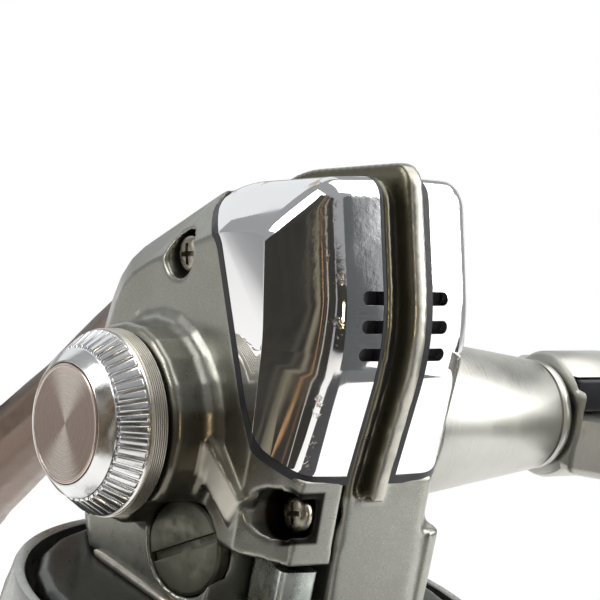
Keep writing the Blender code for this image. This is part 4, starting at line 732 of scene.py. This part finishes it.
class REEL_OT_castings(bpy.types.Operator):
    """Gearbox body and side cover, with the soft edges of castings"""
    bl_idname = "reel.castings"
    bl_label = "Castings"

    def execute(self, context):
        settings = context.scene.reel_cast
        for node, cell in (("side_cover", settings.cover_cell), ("main_body", settings.body_cell)):
            obj = copied(node)
            if node == "side_cover":
                self.clear_rib(obj)
                carve(obj, self.rib(), "UNION")
            apply(obj, "REMESH", mode="VOXEL", voxel_size=cell, adaptivity=0.0)
            apply(obj, "SMOOTH", factor=0.5, iterations=settings.rounds)
            apply(obj, "DECIMATE", ratio=0.55)
            smooth(obj, 60)
            dress(obj, "champagne_paint", "body", node)
        self.bead()
        return {"FINISHED"}

    def clear_rib(self, cover):
        """Takes the plain rib off the cover, up to the boss, to make room for the fine one."""
        corners = [(1.3, 13.6), (-6.4, 9.1), (-8.2, 12.3), (-0.5, 19.2)]
        plain = drawn_out("plain_rib", [at_rim(-14, y, z) for y, z in corners], (3.48 * MM, 0, 0))
        boss = in_mm([(0, -20), (9.6, -20), (9.6, 0), (0, 0)])
        carve(plain, spun("boss", boss, GEAR_AXIS, "X", 64))
        carve(cover, plain)

    def rib(self):
        """The flat rib that runs down from the boss to the rim of the belly screw's pocket."""
        top = [(-9.5, 1.2, 15.2), (-12.0, 0.6, 16.3), (-12.0, -1.0, 19.2), (-9.5, -1.6, 20.0)]
        foot = [(-9.2, -7.3, 10.0), (-10.95, -7.5, 11.0), (-10.95, -8.9, 13.6), (-9.2, -9.5, 14.4)]
        steps = 8
        ends = [(at_rim(*a), at_rim(*b)) for a, b in zip(top, foot)]
        return lofted("rib", [[a.lerp(b, k / steps) for a, b in ends] for k in range(steps + 1)])

    def bead(self):
        """The bead along the foot of the cover."""
        turns = [2 * math.pi * k / 16 for k in range(16)]
        rings = ((-2.0, 0.1), (-1.2, 0.4), (0.0, 0.5), (4.0, 0.5), (8.0, 0.5), (10.4, 0.5), (11.4, 0.4),
                 (12.0, 0.1))
        sections = []
        for y, radius in rings:
            ring = [(-10.7 + radius * math.cos(turn), y, 0.8 + radius * math.sin(turn)) for turn in turns]
            sections.append([at_rim(*place) for place in ring])
        dress(smooth(lofted("cover_bead", sections), 50), "champagne_paint", "body", look="pale_paint")


class REEL_OT_guards(bpy.types.Operator):
    """Plated guards over the rear corners"""
    bl_idname = "reel.guards"
    bl_label = "Guards"

    def execute(self, context):
        settings = context.scene.reel_guard
        for side, node, lip in ((-1, "guard_left", LIP), (1, "guard_right", 0.8 * MM)):
            edge = SEAM_X + GAP - LIP + lip
            guard = gearbox(node + "_fine")
            carve(guard, self.area(side, edge), "INTERSECT")
            carve(guard, gearbox("core", GUARD_T))
            for k in range(settings.slots):
                carve(guard, self.slot(side, edge, (k - (settings.slots - 1) / 2) * settings.slot_pitch))
            editing(guard)
            bpy.ops.mesh.remove_doubles(threshold=2e-6)
            bpy.ops.mesh.dissolve_limited(angle_limit=math.radians(0.3))
            done(guard)
            bevel(guard, settings.edge, 3, 24)
            smooth(guard, 22)
            dress(guard, "chrome", "body", node)
            self.backing(side, edge, lip, node.replace("guard", "guard_backing"))
        return {"FINISHED"}

    def area(self, side, start, grow=0.0):
        """The reach of a guard from a start beside the seam."""
        outline = rounded(inset(in_mm(GUARD), -grow))
        return drawn_out("area", [(side * start, y, RIM_Z + z) for y, z in outline], (side * 12 * MM, 0, 0))

    def backing(self, side, edge, lip, node):
        """Black rubber under a guard, with the lip that shows all round it."""
        proud, growth, depth = 0.03 * MM, 0.8 * MM, 1.45 * MM
        rim = gearbox("rim", -proud)
        carve(rim, self.area(side, edge - lip, growth), "INTERSECT")
        carve(rim, self.area(side, edge - proud, 0.04 * MM))
        carve(rim, gearbox("core", depth))
        dress(smooth(joined(node + "_fine", copied(node), rim)), "black_rubber", "body", node)

    def slot(self, side, edge, rise):
        """A cutter that is open at the guard's inner edge and ends round."""
        width, stop, middle = 1.15 * MM, side * 4.7 * MM, RIM_Z + 31.0 * MM + rise
        start = side * (edge - 1 * MM)
        corners = [(start, middle - width / 2, 0), (stop, middle - width / 2, width / 2),
                   (stop, middle + width / 2, width / 2), (start, middle + width / 2, 0)]
        points = [(x, -30 * MM, z) for x, z in rounded(corners, 8)]
        return drawn_out("slot", points, (0, 28 * MM, 0))


class REEL_OT_groove_shade(bpy.types.Operator):
    """Black strip in the groove beside the fin: a dark piece that stands for painted shade in the groove"""
    bl_idname = "reel.seam"
    bl_label = "Groove shade strip"

    def execute(self, context):
        low, high = -1.08 * MM, -0.22 * MM
        # The black strip is painted shade: a dark piece laid in the groove.
        strip = self.plate("groove_shade_strip", 0.75 * MM, low, high)
        carve(strip, self.plate("under", 1.0 * MM, low - 1 * MM, high + 1 * MM))
        reach = 40 * MM
        carve(strip, block("below", (-reach, -reach, RIM_Z - reach), (reach, reach, RIM_Z + 14.8 * MM)))
        carve(strip, block("behind", (-reach, 11 * MM, RIM_Z - reach), (reach, reach, RIM_Z + 2 * reach)))
        bevel(strip, 0.05 * MM, 2, 50)
        dress(smooth(strip, 40), "black_rubber", "body")
        return {"FINISHED"}

    def plate(self, name, depth, low, high):
        """A plate with the outline of the gearbox, inset by a depth."""
        outline = rounded(inset(in_mm(STRIP), depth))
        return drawn_out(name, [(low, y, RIM_Z + z) for y, z in outline], (high - low, 0, 0))


class REEL_OT_cap(bpy.types.Operator):
    """Knurled screw cap and its spun disc"""
    bl_idname = "reel.cap"
    bl_label = "Screw cap"

    def execute(self, context):
        settings = context.scene.reel_cap
        face = BOSS_END + GAP
        end = face + 5.6 * MM
        ring_end = face + RING_WIDTH
        profile = from_level(face, (0, -0.9), (3.6, -0.9), (3.6, 0), (8.2, 0), (8.4, 0.12))
        pitch = (RING_WIDTH / MM - 0.3) / settings.grooves
        for k in range(settings.grooves):
            profile += from_level(face + (0.2 + k * pitch) * MM, (8.48, 0), (8.48, 0.5 * pitch),
                                  (8.3, 0.6 * pitch), (8.3, 0.9 * pitch))
        profile += from_level(ring_end, (8.4, 0), (8.2, 0.1))
        profile += from_level(end, (6.55, -1.4), (6.7, -1.36), (6.75, -1.22), (6.72, -1.1), (5.7, -0.12),
                              (5.6, -0.06), (5.47, -0.08), (5.43, -0.2), (5.42, -0.85), (0, -0.85))
        cone = spun("handle_cap_fine", mirrored(profile), GEAR_AXIS, "X", 168, 30)
        bars = self.bars(settings, ring_end + 0.05 * MM, end - 1.37 * MM)
        dress(joined("handle_cap_fine", cone, bars), "chrome", "body", "handle_cap", look="cap_plate")
        disc = from_level(end, (0, -0.65), (5.35, -0.65), (5.38, -0.25), (5.36, -0.02), (5.28, 0.05),
                          (5.18, 0.06), (5.1, 0.04), (5.06, 0), (0, -0.05))
        plate = spun("cap_disc_fine", mirrored(disc), GEAR_AXIS, "X", 144, 20)
        dress(plate, "spun_rose", "body", "cap_disc")
        return {"FINISHED"}

    def bars(self, settings, low, high):
        """One bar with rounded edges along the cone, repeated round it."""
        half, rise, sunk = 0.39 * MM, settings.bar_height, 0.5 * MM
        wide, slim = 8.2 * MM, 6.55 * MM
        # (place along the axis, radius, half width)
        rows = [(low, wide, half), (low + 0.25 * MM, wide - 0.15 * MM + rise, half),
                (high - 0.1 * MM, slim + 0.1 * MM + rise, half * 0.76), (high, slim, half * 0.76),
                (high, slim - sunk, half * 0.9), (low, wide - sunk, half * 1.15)]
        points = [GEAR_AXIS + Vector((-along, side * width, radius))
                  for along, radius, width in rows for side in (-1, 1)]
        count = len(points)
        faces = [(k, k + 1, (k + 3) % count, (k + 2) % count) for k in range(0, count, 2)]
        faces += [tuple(range(0, count, 2)), tuple(range(1, count, 2))]
        bar = new_object("bars", points, (), faces)
        editing(bar)
        bpy.ops.mesh.normals_make_consistent(inside=False)
        bpy.ops.object.mode_set(mode="OBJECT")
        bevel(bar, 0.2 * MM, 4, 50)
        editing(bar)
        bpy.ops.mesh.spin(steps=settings.bars, angle=2 * math.pi, center=GEAR_AXIS, axis=(1, 0, 0),
                          dupli=True)
        bpy.ops.mesh.select_all(action="SELECT")
        bpy.ops.mesh.remove_doubles(threshold=1e-6)
        return done(bar, 30)


class REEL_OT_fittings(bpy.types.Operator):
    """Cover screws, oil port plug and anti-reverse lever"""
    bl_idname = "reel.fittings"
    bl_label = "Cover fittings"

    def execute(self, context):
        for node, y, z, depth in SCREWS:
            self.screw(node, at_rim(0, y, z), depth * MM)
        self.port()
        lever = copied("reverse_switch")
        bevel(lever, 0.35 * MM, 4, 40)
        dress(smooth(lever), "chrome", "reverse_switch", "reverse_switch", look="lever_satin")
        return {"FINISHED"}

    def screw(self, node, centre, depth):
        head = depth - 1.1 * MM
        profile = from_level(head, (0, -6), (0.85, -6), (0.85, 0), (1.62, 0), (1.7, 0.1), (1.7, 0.5),
                             (1.6, 0.75), (1.3, 0.96), (0.8, 1.07), (0, 1.1))
        screw = spun(node + "_fine", mirrored(profile), centre, "X", 48, 40)
        for turn in (20, 110):
            cutter = block("cross", (-1.0 * MM, -0.22 * MM, -0.75 * MM), (1.0 * MM, 0.22 * MM, 1 * MM))
            cutter.matrix_world = (Matrix.Translation(centre + Vector((-depth, 0, 0)))
                                   @ Matrix.Rotation(math.radians(-90), 4, "Y")
                                   @ Matrix.Rotation(math.radians(turn), 4, "Z"))
            carve(screw, cutter)
        bevel(screw, 0.06 * MM, 2, 40)
        dress(smooth(screw, 40), "dark_nickel", "body", node, look="screw_nickel")

    def port(self):
        centre = at_rim(-9.6, -1.7, 6.6)
        profile = [(0, 0), (4.4, 0), (4.4, 1.02), (4.28, 1.22), (4.05, 1.3), (0, 1.3)]
        plug = spun("oil_port_plug_fine", in_mm(profile), SPOOL_AXIS, "Z", 96, 40)
        cutter = block("slot", (-0.42 * MM, -10 * MM, 0.55 * MM), (0.42 * MM, 10 * MM, 5 * MM))
        cutter.matrix_world = Matrix.Rotation(math.radians(33), 4, "Z")
        carve(plug, cutter)
        bevel(plug, 0.07 * MM, 2, 40)
        only(plug)
        plug.matrix_world = (Matrix.Translation(centre) @ Matrix.Rotation(math.radians(12), 4, "Z")
                             @ Matrix.Rotation(math.radians(-90), 4, "Y"))
        bpy.ops.object.transform_apply(location=True, rotation=True, scale=True)
        dress(smooth(plug, 40), "dark_nickel", "body", "oil_port_plug")


class REEL_OT_rotor(bpy.types.Operator):
    """Rotor cup with its two arms"""
    bl_idname = "reel.rotor"
    bl_label = "Rotor"

    def execute(self, context):
        centre = Vector((0, 0, RIM_Z))
        profile = [(21.7, -0.1), (21.8, 0), (22.5, 0), (22.7, -0.08), (22.8, -0.3), (23.0, -1.4),
                   (23.3, -2.6), (23.48, -4.0), (23.5, -5.6), (23.3, -7.5), (22.9, -9.0), (22.2, -10.0),
                   (21.4, -10.6), (19.4, -11.1), (18.7, -11.5), (18.4, -12.1), (18.4, -29.2), (18.2, -29.7),
                   (17.6, -30.0), (3.8, -30.0), (3.8, -27.8), (16.7, -27.8), (16.7, -11.5), (21.3, -8.3),
                   (21.7, -6.0)]
        cup = spun("rotor_fine", in_mm(profile), centre, "Z", 144, 30)
        arms = [self.arm(side) for side in (1, -1)]
        dress(joined("rotor_fine", cup, *arms), "champagne_paint", "rotor", "rotor", look="rotor_silver")
        return {"FINISHED"}

    def arm(self, side):
        tip = (PIVOT.z - RIM_Z) / MM - 5.6
        outer, inner = ARM_OUTER_R / MM, ARM_INNER_R / MM
        corners = in_mm([(-1.2, 22.3, 0), (-1.2, 24.6, 1.5), (-7, outer - 0.6, 6), (-14, outer, 6),
                         (tip, outer, 2), (tip, inner, 2), (-15, inner, 3), (-9.8, 22.3, 0)])
        points = [(side * x, -6.2 * MM, RIM_Z + z) for z, x in rounded(corners, 8)]
        arm = drawn_out("arm", points, (0, 12.4 * MM, 0))
        return smooth(bevel(arm, 0.9 * MM, 5, 50), 30)


class REEL_OT_bail(bpy.types.Operator):
    """Bail wire with its cone, and line roller"""
    bl_idname = "reel.bail"
    bl_label = "Bail"

    def execute(self, context):
        curve = bpy.data.curves.new("bail_wire_fine", "CURVE")
        curve.dimensions = "3D"
        curve.bevel_depth = 0.95 * MM
        curve.bevel_resolution = 6
        curve.resolution_u = 14
        curve.use_fill_caps = True
        spline = curve.splines.new("BEZIER")
        spline.bezier_points.add(len(WIRE) - 1)
        for point, (x, y, drop) in zip(spline.bezier_points, WIRE):
            point.co = PIVOT + Vector((x, y, -drop)) * MM
            point.handle_left_type = point.handle_right_type = "AUTO"
        wire = bpy.data.objects.new("bail_wire_fine", curve)
        bpy.context.scene.collection.objects.link(wire)
        only(wire)
        bpy.ops.object.convert(target="MESH")
        wire = smooth(bpy.context.view_layer.objects.active, 50)
        seat = PIVOT + Vector((0, ROLLER_Y, -ROLLER_DROP))
        face = ARM_OUTER_R - 4.3 * MM
        profile = from_level(face, (1.5, 0), (3.7, 0), (3.9, -0.15), (3.9, -0.5), (3.7, -1.1), (3.0, -1.7),
                             (1.5, -1.8))
        cone = spun("cone", profile, seat, "X", 64)
        dress(joined("bail_wire_fine", wire, cone), "chrome", "bail", "bail_wire")
        roller = from_level(ARM_OUTER_R, (1.55, 0), (3.4, 0), (3.6, -0.2), (3.6, -0.7), (3.0, -1.1),
                            (2.7, -1.6), (2.7, -2.4), (3.0, -2.9), (3.6, -3.3), (3.6, -3.8), (3.4, -4),
                            (1.55, -4))
        dress(spun("line_roller_fine", roller, seat, "X", 72), "chrome", "roller", "line_roller")
        return {"FINISHED"}


class REEL_OT_spool(bpy.types.Operator):
    """Spool and front drag knob"""
    bl_idname = "reel.spool"
    bl_label = "Spool and drag knob"

    def execute(self, context):
        profile = [(22.3, 55.0), (23.4, 55.0), (23.6, 54.8), (23.6, 54.0), (23.45, 53.85), (23.45, 53.6),
                   (23.6, 53.45), (23.6, 41.0), (23.4, 40.8), (23.4, 40.4), (23.6, 40.2), (23.6, 33.3),
                   (23.45, 32.8), (23.0, 32.5), (23.0, 30.4), (22.8, 30.2), (16.3, 30.0), (15.75, 29.8),
                   (15.5, 29.2), (15.5, 13.8), (15.75, 13.2), (16.3, 13.0), (22.4, 12.7), (23.0, 12.45),
                   (23.4, 12.0), (23.5, 11.6), (23.45, 10.9), (23.2, 10.4), (22.5, 10.0), (21.4, 10.0),
                   (21.3, 10.15), (20.9, 10.15), (20.8, 10.0), (16.4, 10.0), (15.2, 10.5), (15.0, 10.9),
                   (15.0, 12.6), (13.0, 12.8), (13.0, 22.0), (4.6, 22.0), (4.6, 20.8), (2.15, 20.8),
                   (2.15, 32.5), (4.6, 32.5), (4.6, 24.5), (13.9, 24.5), (13.9, 31.0), (22.3, 33.1)]
        spool = spun("spool_fine", in_mm(profile), SPOOL_AXIS, "Z", 144, 30)
        dress(spool, "satin_aluminium", "spool", "spool", look="spool_aluminium")
        top = FRAME["boxes"]["drag_knob"][1][2] / MM
        profile = [(0, 2.7), (2.15, 2.7), (2.15, top), (9.0, top), (9.0, 10.5), (13.4, 10.5), (13.9, 10.35),
                   (14.2, 10.1), (14.3, 9.7), (14.3, 2.6), (14.15, 1.6), (13.8, 0.8), (13.3, 0.3),
                   (12.6, 0), (9.5, 0), (9.3, 0.08), (9.2, 0.25), (9.2, 1.0), (0, 1.0)]
        knob = spun("drag_knob_fine", in_mm(profile), SPOOL_AXIS, "Z", 96, 30)
        for k in range(12):
            turn = 2 * math.pi * k / 12
            at = Vector((15.4 * math.cos(turn), 15.4 * math.sin(turn), 0)) * MM
            dent = [(0, 1.6), (1.6, 1.6), (2.0, 2.0), (2.0, 16), (0, 16)]
            carve(knob, spun("dent", in_mm(dent), at, "Z", 24))
        bevel(knob, 0.2 * MM, 2, 35)
        dress(smooth(knob, 35), "dark_grey", "drag_knob", "drag_knob")
        plate = [(0, 0.2), (8.6, 0.2), (8.85, 0.3), (8.9, 0.45), (8.9, 0.7), (0, 0.7)]
        plate = spun("drag_knob_plate_fine", in_mm(plate), SPOOL_AXIS, "Z", 96, 30)
        dress(plate, "satin_aluminium", "drag_knob", "drag_knob_plate", look="spool_aluminium")
        return {"FINISHED"}


class REEL_OT_handle(bpy.types.Operator):
    """Handle shank, arm with its fold block, and grip"""
    bl_idname = "reel.handle"
    bl_label = "Handle"

    def execute(self, context):
        start = BOSS_END + GAP
        end = start + 19.4 * MM
        ring = end - 1.5 * MM
        profile = from_level(end, (0, 0), (4.9, 0), (5.2, -0.12), (5.4, -0.5))
        profile += from_level(ring, (5.4, 0.6), (5.3, 0.35), (5.0, 0.3), (5.0, 0), (5.35, 0), (5.5, -0.2))
        profile += from_level(start, (8.0, 1.2), (7.95, 0.8), (7.7, 0.3), (7.2, 0), (3.4, 0))
        profile += from_level(start - GAP, (3.4, 0), (1.9, 0))
        profile += in_mm([(1.9, 3.0), (0, 3.0)])
        shank = spun("handle_shank_fine", profile, GEAR_AXIS, "X", 128, 30)
        dress(shank, "satin_aluminium", "crank", "handle_shank")
        self.arm(end + GAP)
        self.grip()
        return {"FINISHED"}

    def arm(self, low):
        high = low + 8 * MM
        near, far = low / MM, high / MM
        corners = in_mm([(5.9, near, 1), (5.9, far, 2.5), (-4, far + 1, 4), (-24, 50.8, 8),
                         (-57.4, 50.8, 1.5), (-57.4, 46.4, 1.5), (-27, 46.4, 8), (-9, near + 5, 4),
                         (-5.9, near, 1)])
        points = [(x, GEAR_AXIS.y + y, GEAR_AXIS.z - 4.5 * MM) for y, x in rounded(corners, 10)]
        arm = drawn_out("handle_arm_fine", points, (0, 0, 9 * MM))
        bevel(arm, 1.0 * MM, 5, 50)
        profile = from_level(high, (0, 0), (5.7, 0), (6.1, -0.2), (6.3, -0.6))
        profile += from_level(low, (6.3, 0.6), (6.1, 0.2), (5.7, 0), (0, 0))
        hub = spun("hub", profile, GEAR_AXIS, "X", 96, 30)
        carve(arm, hub, "UNION")
        pocket = block("pocket", (low + 0.2 * MM, GEAR_AXIS.y - 7.3 * MM, GEAR_AXIS.z + 1.4 * MM),
                       (high + 5 * MM, GEAR_AXIS.y + 3 * MM, GEAR_AXIS.z + 5.1 * MM))
        carve(arm, pocket)
        dress(smooth(arm, 30), "satin_aluminium", "crank", "handle_arm")
        tongue = block("fold_block_fine", (low + 0.5 * MM, GEAR_AXIS.y - 4.2 * MM, GEAR_AXIS.z + 1.6 * MM),
                       (high, GEAR_AXIS.y + 2.7 * MM, GEAR_AXIS.z + 4.9 * MM))
        pin = Vector((low + 4 * MM, GEAR_AXIS.y, GEAR_AXIS.z))
        bore = in_mm([(0, -9), (1.5, -9), (1.5, 9), (0, 9)])
        carve(tongue, spun("bore", bore, pin, "Z", 32))
        bevel(tongue, 0.25 * MM, 3, 40)
        dress(smooth(tongue, 40), "black_rubber", "crank", "fold_block")

    def grip(self):
        start = 51.7 * MM
        end = start + 30 * MM
        profile = from_level(end, (2.25, 0), (6.6, 0), (7.4, -0.4), (8.1, -1.2), (8.5, -2.6), (8.6, -4.6))
        for k in range(6):
            radius = 8.55 - 0.3 * k
            profile += from_level(end - (6.2 + 2.6 * k) * MM, (radius, 0), (radius - 0.35, -0.25),
                                  (radius - 0.4, -0.7), (radius - 0.1, -1))
        profile += from_level(end, (6.6, -22.5))
        profile += from_level(start, (6.2, 3.4), (6.4, 1.6), (6.45, 0.8), (6.2, 0.2), (5.9, 0), (2.25, 0))
        grip = spun("handle_knob_fine", profile, GRIP_AXIS, "X", 96, 35)
        dress(grip, "grip_rubber", "grip", "handle_knob")
        cap = from_level(end, (0, 1.9), (1.8, 1.85), (3.4, 1.7), (5.0, 1.35), (6.0, 0.85))
        cap += from_level(end + GAP, (6.4, 0), (1.9, 0))
        cap += from_level(end, (1.9, -2.2), (0, -2.2))
        dress(spun("knob_cap_fine", cap, GRIP_AXIS, "X", 96, 35), "satin_aluminium", "grip", "knob_cap")


class REEL_OT_small_parts(bpy.types.Operator):
    """Small outer parts: welded copies with broken edges"""
    bl_idname = "reel.small_parts"
    bl_label = "Small parts"

    BROKEN = {"arm_cover_left": 0.3, "arm_cover_right": 0.3, "roller_lever": 0.25, "cam_lever": 0.25,
              "bail_screw_left": 0.2, "bail_screw_right": 0.2, "line_clip": 0.15}

    def execute(self, context):
        for node, width in self.BROKEN.items():
            obj = copied(node)
            bevel(obj, width * MM, 2, 40)
            dress(smooth(obj, 40), slot_of(node), body_of(node), node)
        return {"FINISHED"}


class REEL_OT_inner_parts(bpy.types.Operator):
    """Finishes for the solids that show as they are"""
    bl_idname = "reel.inner_parts"
    bl_label = "Inner parts"

    def execute(self, context):
        for node, obj in FRAME["nodes"].items():
            obj.data.materials.clear()
            obj.data.materials.append(FINISHES[slot_of(node)])
        return {"FINISHED"}


class REEL_OT_stage(bpy.types.Operator):
    """Pale floor, soft lights, cards for the reflections and the camera"""
    bl_idname = "reel.stage"
    bl_label = "Stage"

    # Width of the sensor, side of the picture and the rim's middle in it, from its upper left corner
    SENSOR = 36.0
    PICTURE = 600
    RIM_AT = (256.73, 600.99)
    # (name, place, size, watts, colour), each aimed at the gearbox
    LIGHTS = [("top_light", (0.18, 0.0, 0.6), 0.66, 2.75, (1.0, 0.98, 0.95)),
              ("left_light", (-0.5, 0.16, 0.36), 0.36, 1.9, (1.0, 0.98, 0.94)),
              ("right_light", (0.5, -0.25, 0.35), 0.4, 1.9, (1.0, 0.99, 0.97)),
              ("right_panel", (0.36, -0.32, 0.1), 0.34, 0.37, (1.0, 1.0, 1.0)),
              ("front_light", (-0.1, -0.6, 0.25), 0.1, 0.35, (1.0, 0.8, 0.5)),
              ("back_panel", (0.06, 0.4, 0.28), 0.36, 0.23, (0.97, 1.0, 1.0))]
    # (name, place, width, height, colour), each facing the gearbox
    CARDS = [("front_card", (-0.16, -0.72, 0.2), 0.7, 0.5, (0.035, 0.032, 0.028)),
             ("right_card", (0.3, 0.24, 0.06), 0.2, 0.3, (0.75, 0.76, 0.76)),
             ("near_card", (0.115, -0.3, 0.15), 0.16, 0.38, (0.1, 0.108, 0.112))]
    # Cards that lie on the floor, in the same terms
    FLOOR_CARDS = [("back_floor_card", (-0.17, 0.23, 0.003), 0.12, 0.15, (0.2, 0.19, 0.16)),
                   ("front_floor_card", (0.0, -0.2, 0.003), 0.17, 0.2, (0.05, 0.05, 0.055)),
                   ("right_floor_card", (0.15, -0.26, 0.003), 0.13, 0.1, (0.1, 0.108, 0.112))]
    # Dark cards with streaks: (name, place, width, height, scale of the streaks)
    STREAKED_CARDS = [("dark_card", (-0.31, -0.1, 0.13), 0.36, 0.5, 1.0),
                      ("low_card", (-0.19, -0.065, 0), 0.24, 0.14, 0.62)]
    # Soft streaks on them: (place across in metres, half width, colour)
    STREAKS = [(-0.072, 0.012, (0.05, 0.047, 0.033)), (-0.04, 0.018, (0.19, 0.17, 0.115)),
               (-0.003, 0.007, (0.42, 0.24, 0.1)), (0.022, 0.006, (0.1, 0.06, 0.03)),
               (0.05, 0.012, (0.5, 0.47, 0.4))]

    def execute(self, context):
        self.floor()
        self.sky(context)
        target = Vector((0, 0, RIM_Z + 20 * MM))
        for name, place, size, watts, colour in self.LIGHTS:
            light = bpy.data.lights.new(name, "AREA")
            light.energy = watts
            light.color = colour
            light.size = size
            self.aimed(bpy.data.objects.new(name, light), Vector(place), target)
        for name, place, width, height, colour in self.CARDS:
            self.aimed(self.card(name, width, height, self.cloth(name, colour)), Vector(place), target)
        for name, place, width, height, scale in self.STREAKED_CARDS:
            self.aimed(self.card(name, width, height, self.streaked(name, scale)), Vector(place), target)
        for name, place, width, depth, colour in self.FLOOR_CARDS:
            card = self.card(name, width, depth, self.cloth(name, colour))
            self.aimed(card, Vector(place), Vector(place) + Vector((0, 0, 1)))
        self.camera(context)
        return {"FINISHED"}

    def card(self, name, width, height, look):
        """A card that only reflections see."""
        points = [(-width / 2, -height / 2, 0), (width / 2, -height / 2, 0), (width / 2, height / 2, 0),
                  (-width / 2, height / 2, 0)]
        card = new_object(name, points, (), [(0, 1, 2, 3)])
        card.data.materials.append(look.material)
        card.visible_camera = False
        card.visible_diffuse = False
        card.visible_shadow = False
        return card

    def cloth(self, name, colour):
        """The plain cloth of a card."""
        return moulded(name, tuple(0.8 * part for part in colour), colour, 0.9)

    def streaked(self, name, scale):
        """The cloth of a dark card, with paler upright streaks."""
        look = Finish(name, (0.02, 0.018, 0.013), 0.9)
        across = look.axis("X")
        dark, light = (0.014, 0.012, 0.009), (0.024, 0.021, 0.015)
        tone = look.mixed(look.band(look.noise(30, 2), 0.3, 0.7), dark, light)
        for place, half, colour in self.STREAKS:
            streak = look.band((across - place * scale).distance(), 0.0, half * scale, 1, 0)
            tone = look.mixed(streak, tone, colour)
        return look.feed(colour=tone)

    def aimed(self, obj, place, target):
        """Stands an object at a place, facing a target."""
        if obj.name not in bpy.context.scene.collection.objects:
            bpy.context.scene.collection.objects.link(obj)
        turn = (target - place).to_track_quat("-Z", "Y").to_matrix().to_4x4()
        obj.matrix_world = Matrix.Translation(place) @ turn

    def floor(self):
        reach = 6.0
        points = [(-reach, -reach, 0), (reach, -reach, 0), (reach, reach, 0), (-reach, reach, 0)]
        floor = new_object("floor", points, (), [(0, 1, 2, 3)])
        look = Finish("floor_white", (0.9, 0.9, 0.9), 0.7)
        tone = look.mixed(look.band(look.noise(3, 2), 0.3, 0.7), (0.9, 0.9, 0.9), (0.93, 0.93, 0.93))
        look.feed(colour=tone)
        # Away from the reel the floor is plain white to the camera
        seen = Value(look, look.node("ShaderNodeLightPath").outputs["Is Camera Ray"])
        share = look.band(look.radius(SPOOL_AXIS, "Z"), 0.1, 0.26) * seen
        plain = look.node("ShaderNodeEmission", {"Color": (1, 1, 1, 1), "Strength": 1.0})
        mix = look.node("ShaderNodeMixShader", {0: share})
        look.tree.links.new(look.shader.outputs[0], mix.inputs[1])
        look.tree.links.new(plain.outputs[0], mix.inputs[2])
        look.tree.links.new(mix.outputs[0], look.tree.nodes["Material Output"].inputs["Surface"])
        floor.data.materials.append(look.material)

    def sky(self, context):
        world = bpy.data.worlds.new("studio")
        world.use_nodes = True
        context.scene.world = world
        nodes, links = world.node_tree.nodes, world.node_tree.links
        background = nodes["Background"]
        background.inputs["Color"].default_value = (0.97, 0.98, 1.0, 1)
        background.inputs["Strength"].default_value = 0.38
        plain = nodes.new("ShaderNodeBackground")
        plain.inputs["Color"].default_value = (1, 1, 1, 1)
        plain.inputs["Strength"].default_value = 1.0
        path = nodes.new("ShaderNodeLightPath")
        mix = nodes.new("ShaderNodeMixShader")
        links.new(path.outputs["Is Camera Ray"], mix.inputs[0])
        links.new(background.outputs[0], mix.inputs[1])
        links.new(plain.outputs[0], mix.inputs[2])
        links.new(mix.outputs[0], nodes["World Output"].inputs["Surface"])

    def camera(self, context):
        settings = context.scene.reel_stage
        azimuth, elevation, roll = settings.azimuth, settings.elevation, settings.roll
        right = Vector((math.cos(azimuth), math.sin(azimuth), 0))
        back = Vector((math.sin(azimuth) * math.cos(elevation), -math.cos(azimuth) * math.cos(elevation),
                       math.sin(elevation)))
        up = back.cross(right)
        across = math.cos(roll) * right + math.sin(roll) * up
        above = math.cos(roll) * up - math.sin(roll) * right
        # The rim's middle lies left of and below the middle of the frame
        middle, focal = self.PICTURE / 2, self.PICTURE * settings.lens / self.SENSOR
        aside, below = self.RIM_AT[0] - middle, self.RIM_AT[1] - middle
        aim = across * aside / focal - above * below / focal - back
        data = bpy.data.cameras.new("camera")
        data.lens = settings.lens
        data.sensor_width = self.SENSOR
        data.clip_start = 0.01
        camera = bpy.data.objects.new("camera", data)
        context.scene.collection.objects.link(camera)
        place = Vector((0, 0, RIM_Z)) - aim * settings.distance
        turn = Matrix((across, above, back)).transposed().to_4x4()
        camera.matrix_world = Matrix.Translation(place) @ turn
        context.scene.camera = camera
        context.scene.view_settings.view_transform = "Standard"


class REEL_PT_panel(bpy.types.Panel):
    """Buttons for each group of pieces"""
    bl_idname = "REEL_PT_panel"
    bl_label = "Spinning reel"
    bl_space_type = "VIEW_3D"
    bl_region_type = "UI"
    bl_category = "Reel"

    def draw(self, context):
        for operator in STEPS:
            self.layout.operator(operator.bl_idname)
        for name in SETTINGS:
            box = self.layout.box()
            settings = getattr(context.scene, name)
            for key in settings.__annotations__:
                box.prop(settings, key)


SETTINGS = {"reel_cast": ReelCastSettings, "reel_cap": ReelCapSettings, "reel_guard": ReelGuardSettings,
            "reel_stage": ReelStageSettings}
STEPS = (REEL_OT_inner_parts, REEL_OT_castings, REEL_OT_guards, REEL_OT_groove_shade, REEL_OT_cap, REEL_OT_fittings,
         REEL_OT_rotor, REEL_OT_bail, REEL_OT_spool, REEL_OT_handle, REEL_OT_small_parts, REEL_OT_stage)


def register():
    for name, group in SETTINGS.items():
        bpy.utils.register_class(group)
        setattr(bpy.types.Scene, name, bpy.props.PointerProperty(type=group))
    for operator in STEPS:
        bpy.utils.register_class(operator)
    bpy.utils.register_class(REEL_PT_panel)


def unregister():
    bpy.utils.unregister_class(REEL_PT_panel)
    for operator in reversed(STEPS):
        bpy.utils.unregister_class(operator)
    for name, group in SETTINGS.items():
        delattr(bpy.types.Scene, name)
        bpy.utils.unregister_class(group)


def main():
    FRAME.update(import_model())
    FRAME["boxes"] = {node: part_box(node) for node in FRAME["nodes"]}
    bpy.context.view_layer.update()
    FINISHES.update(make_finishes())
    register()
    for operator in STEPS:
        group, name = operator.bl_idname.split(".")
        getattr(getattr(bpy.ops, group), name)()


if __name__ == "__main__":
    main()
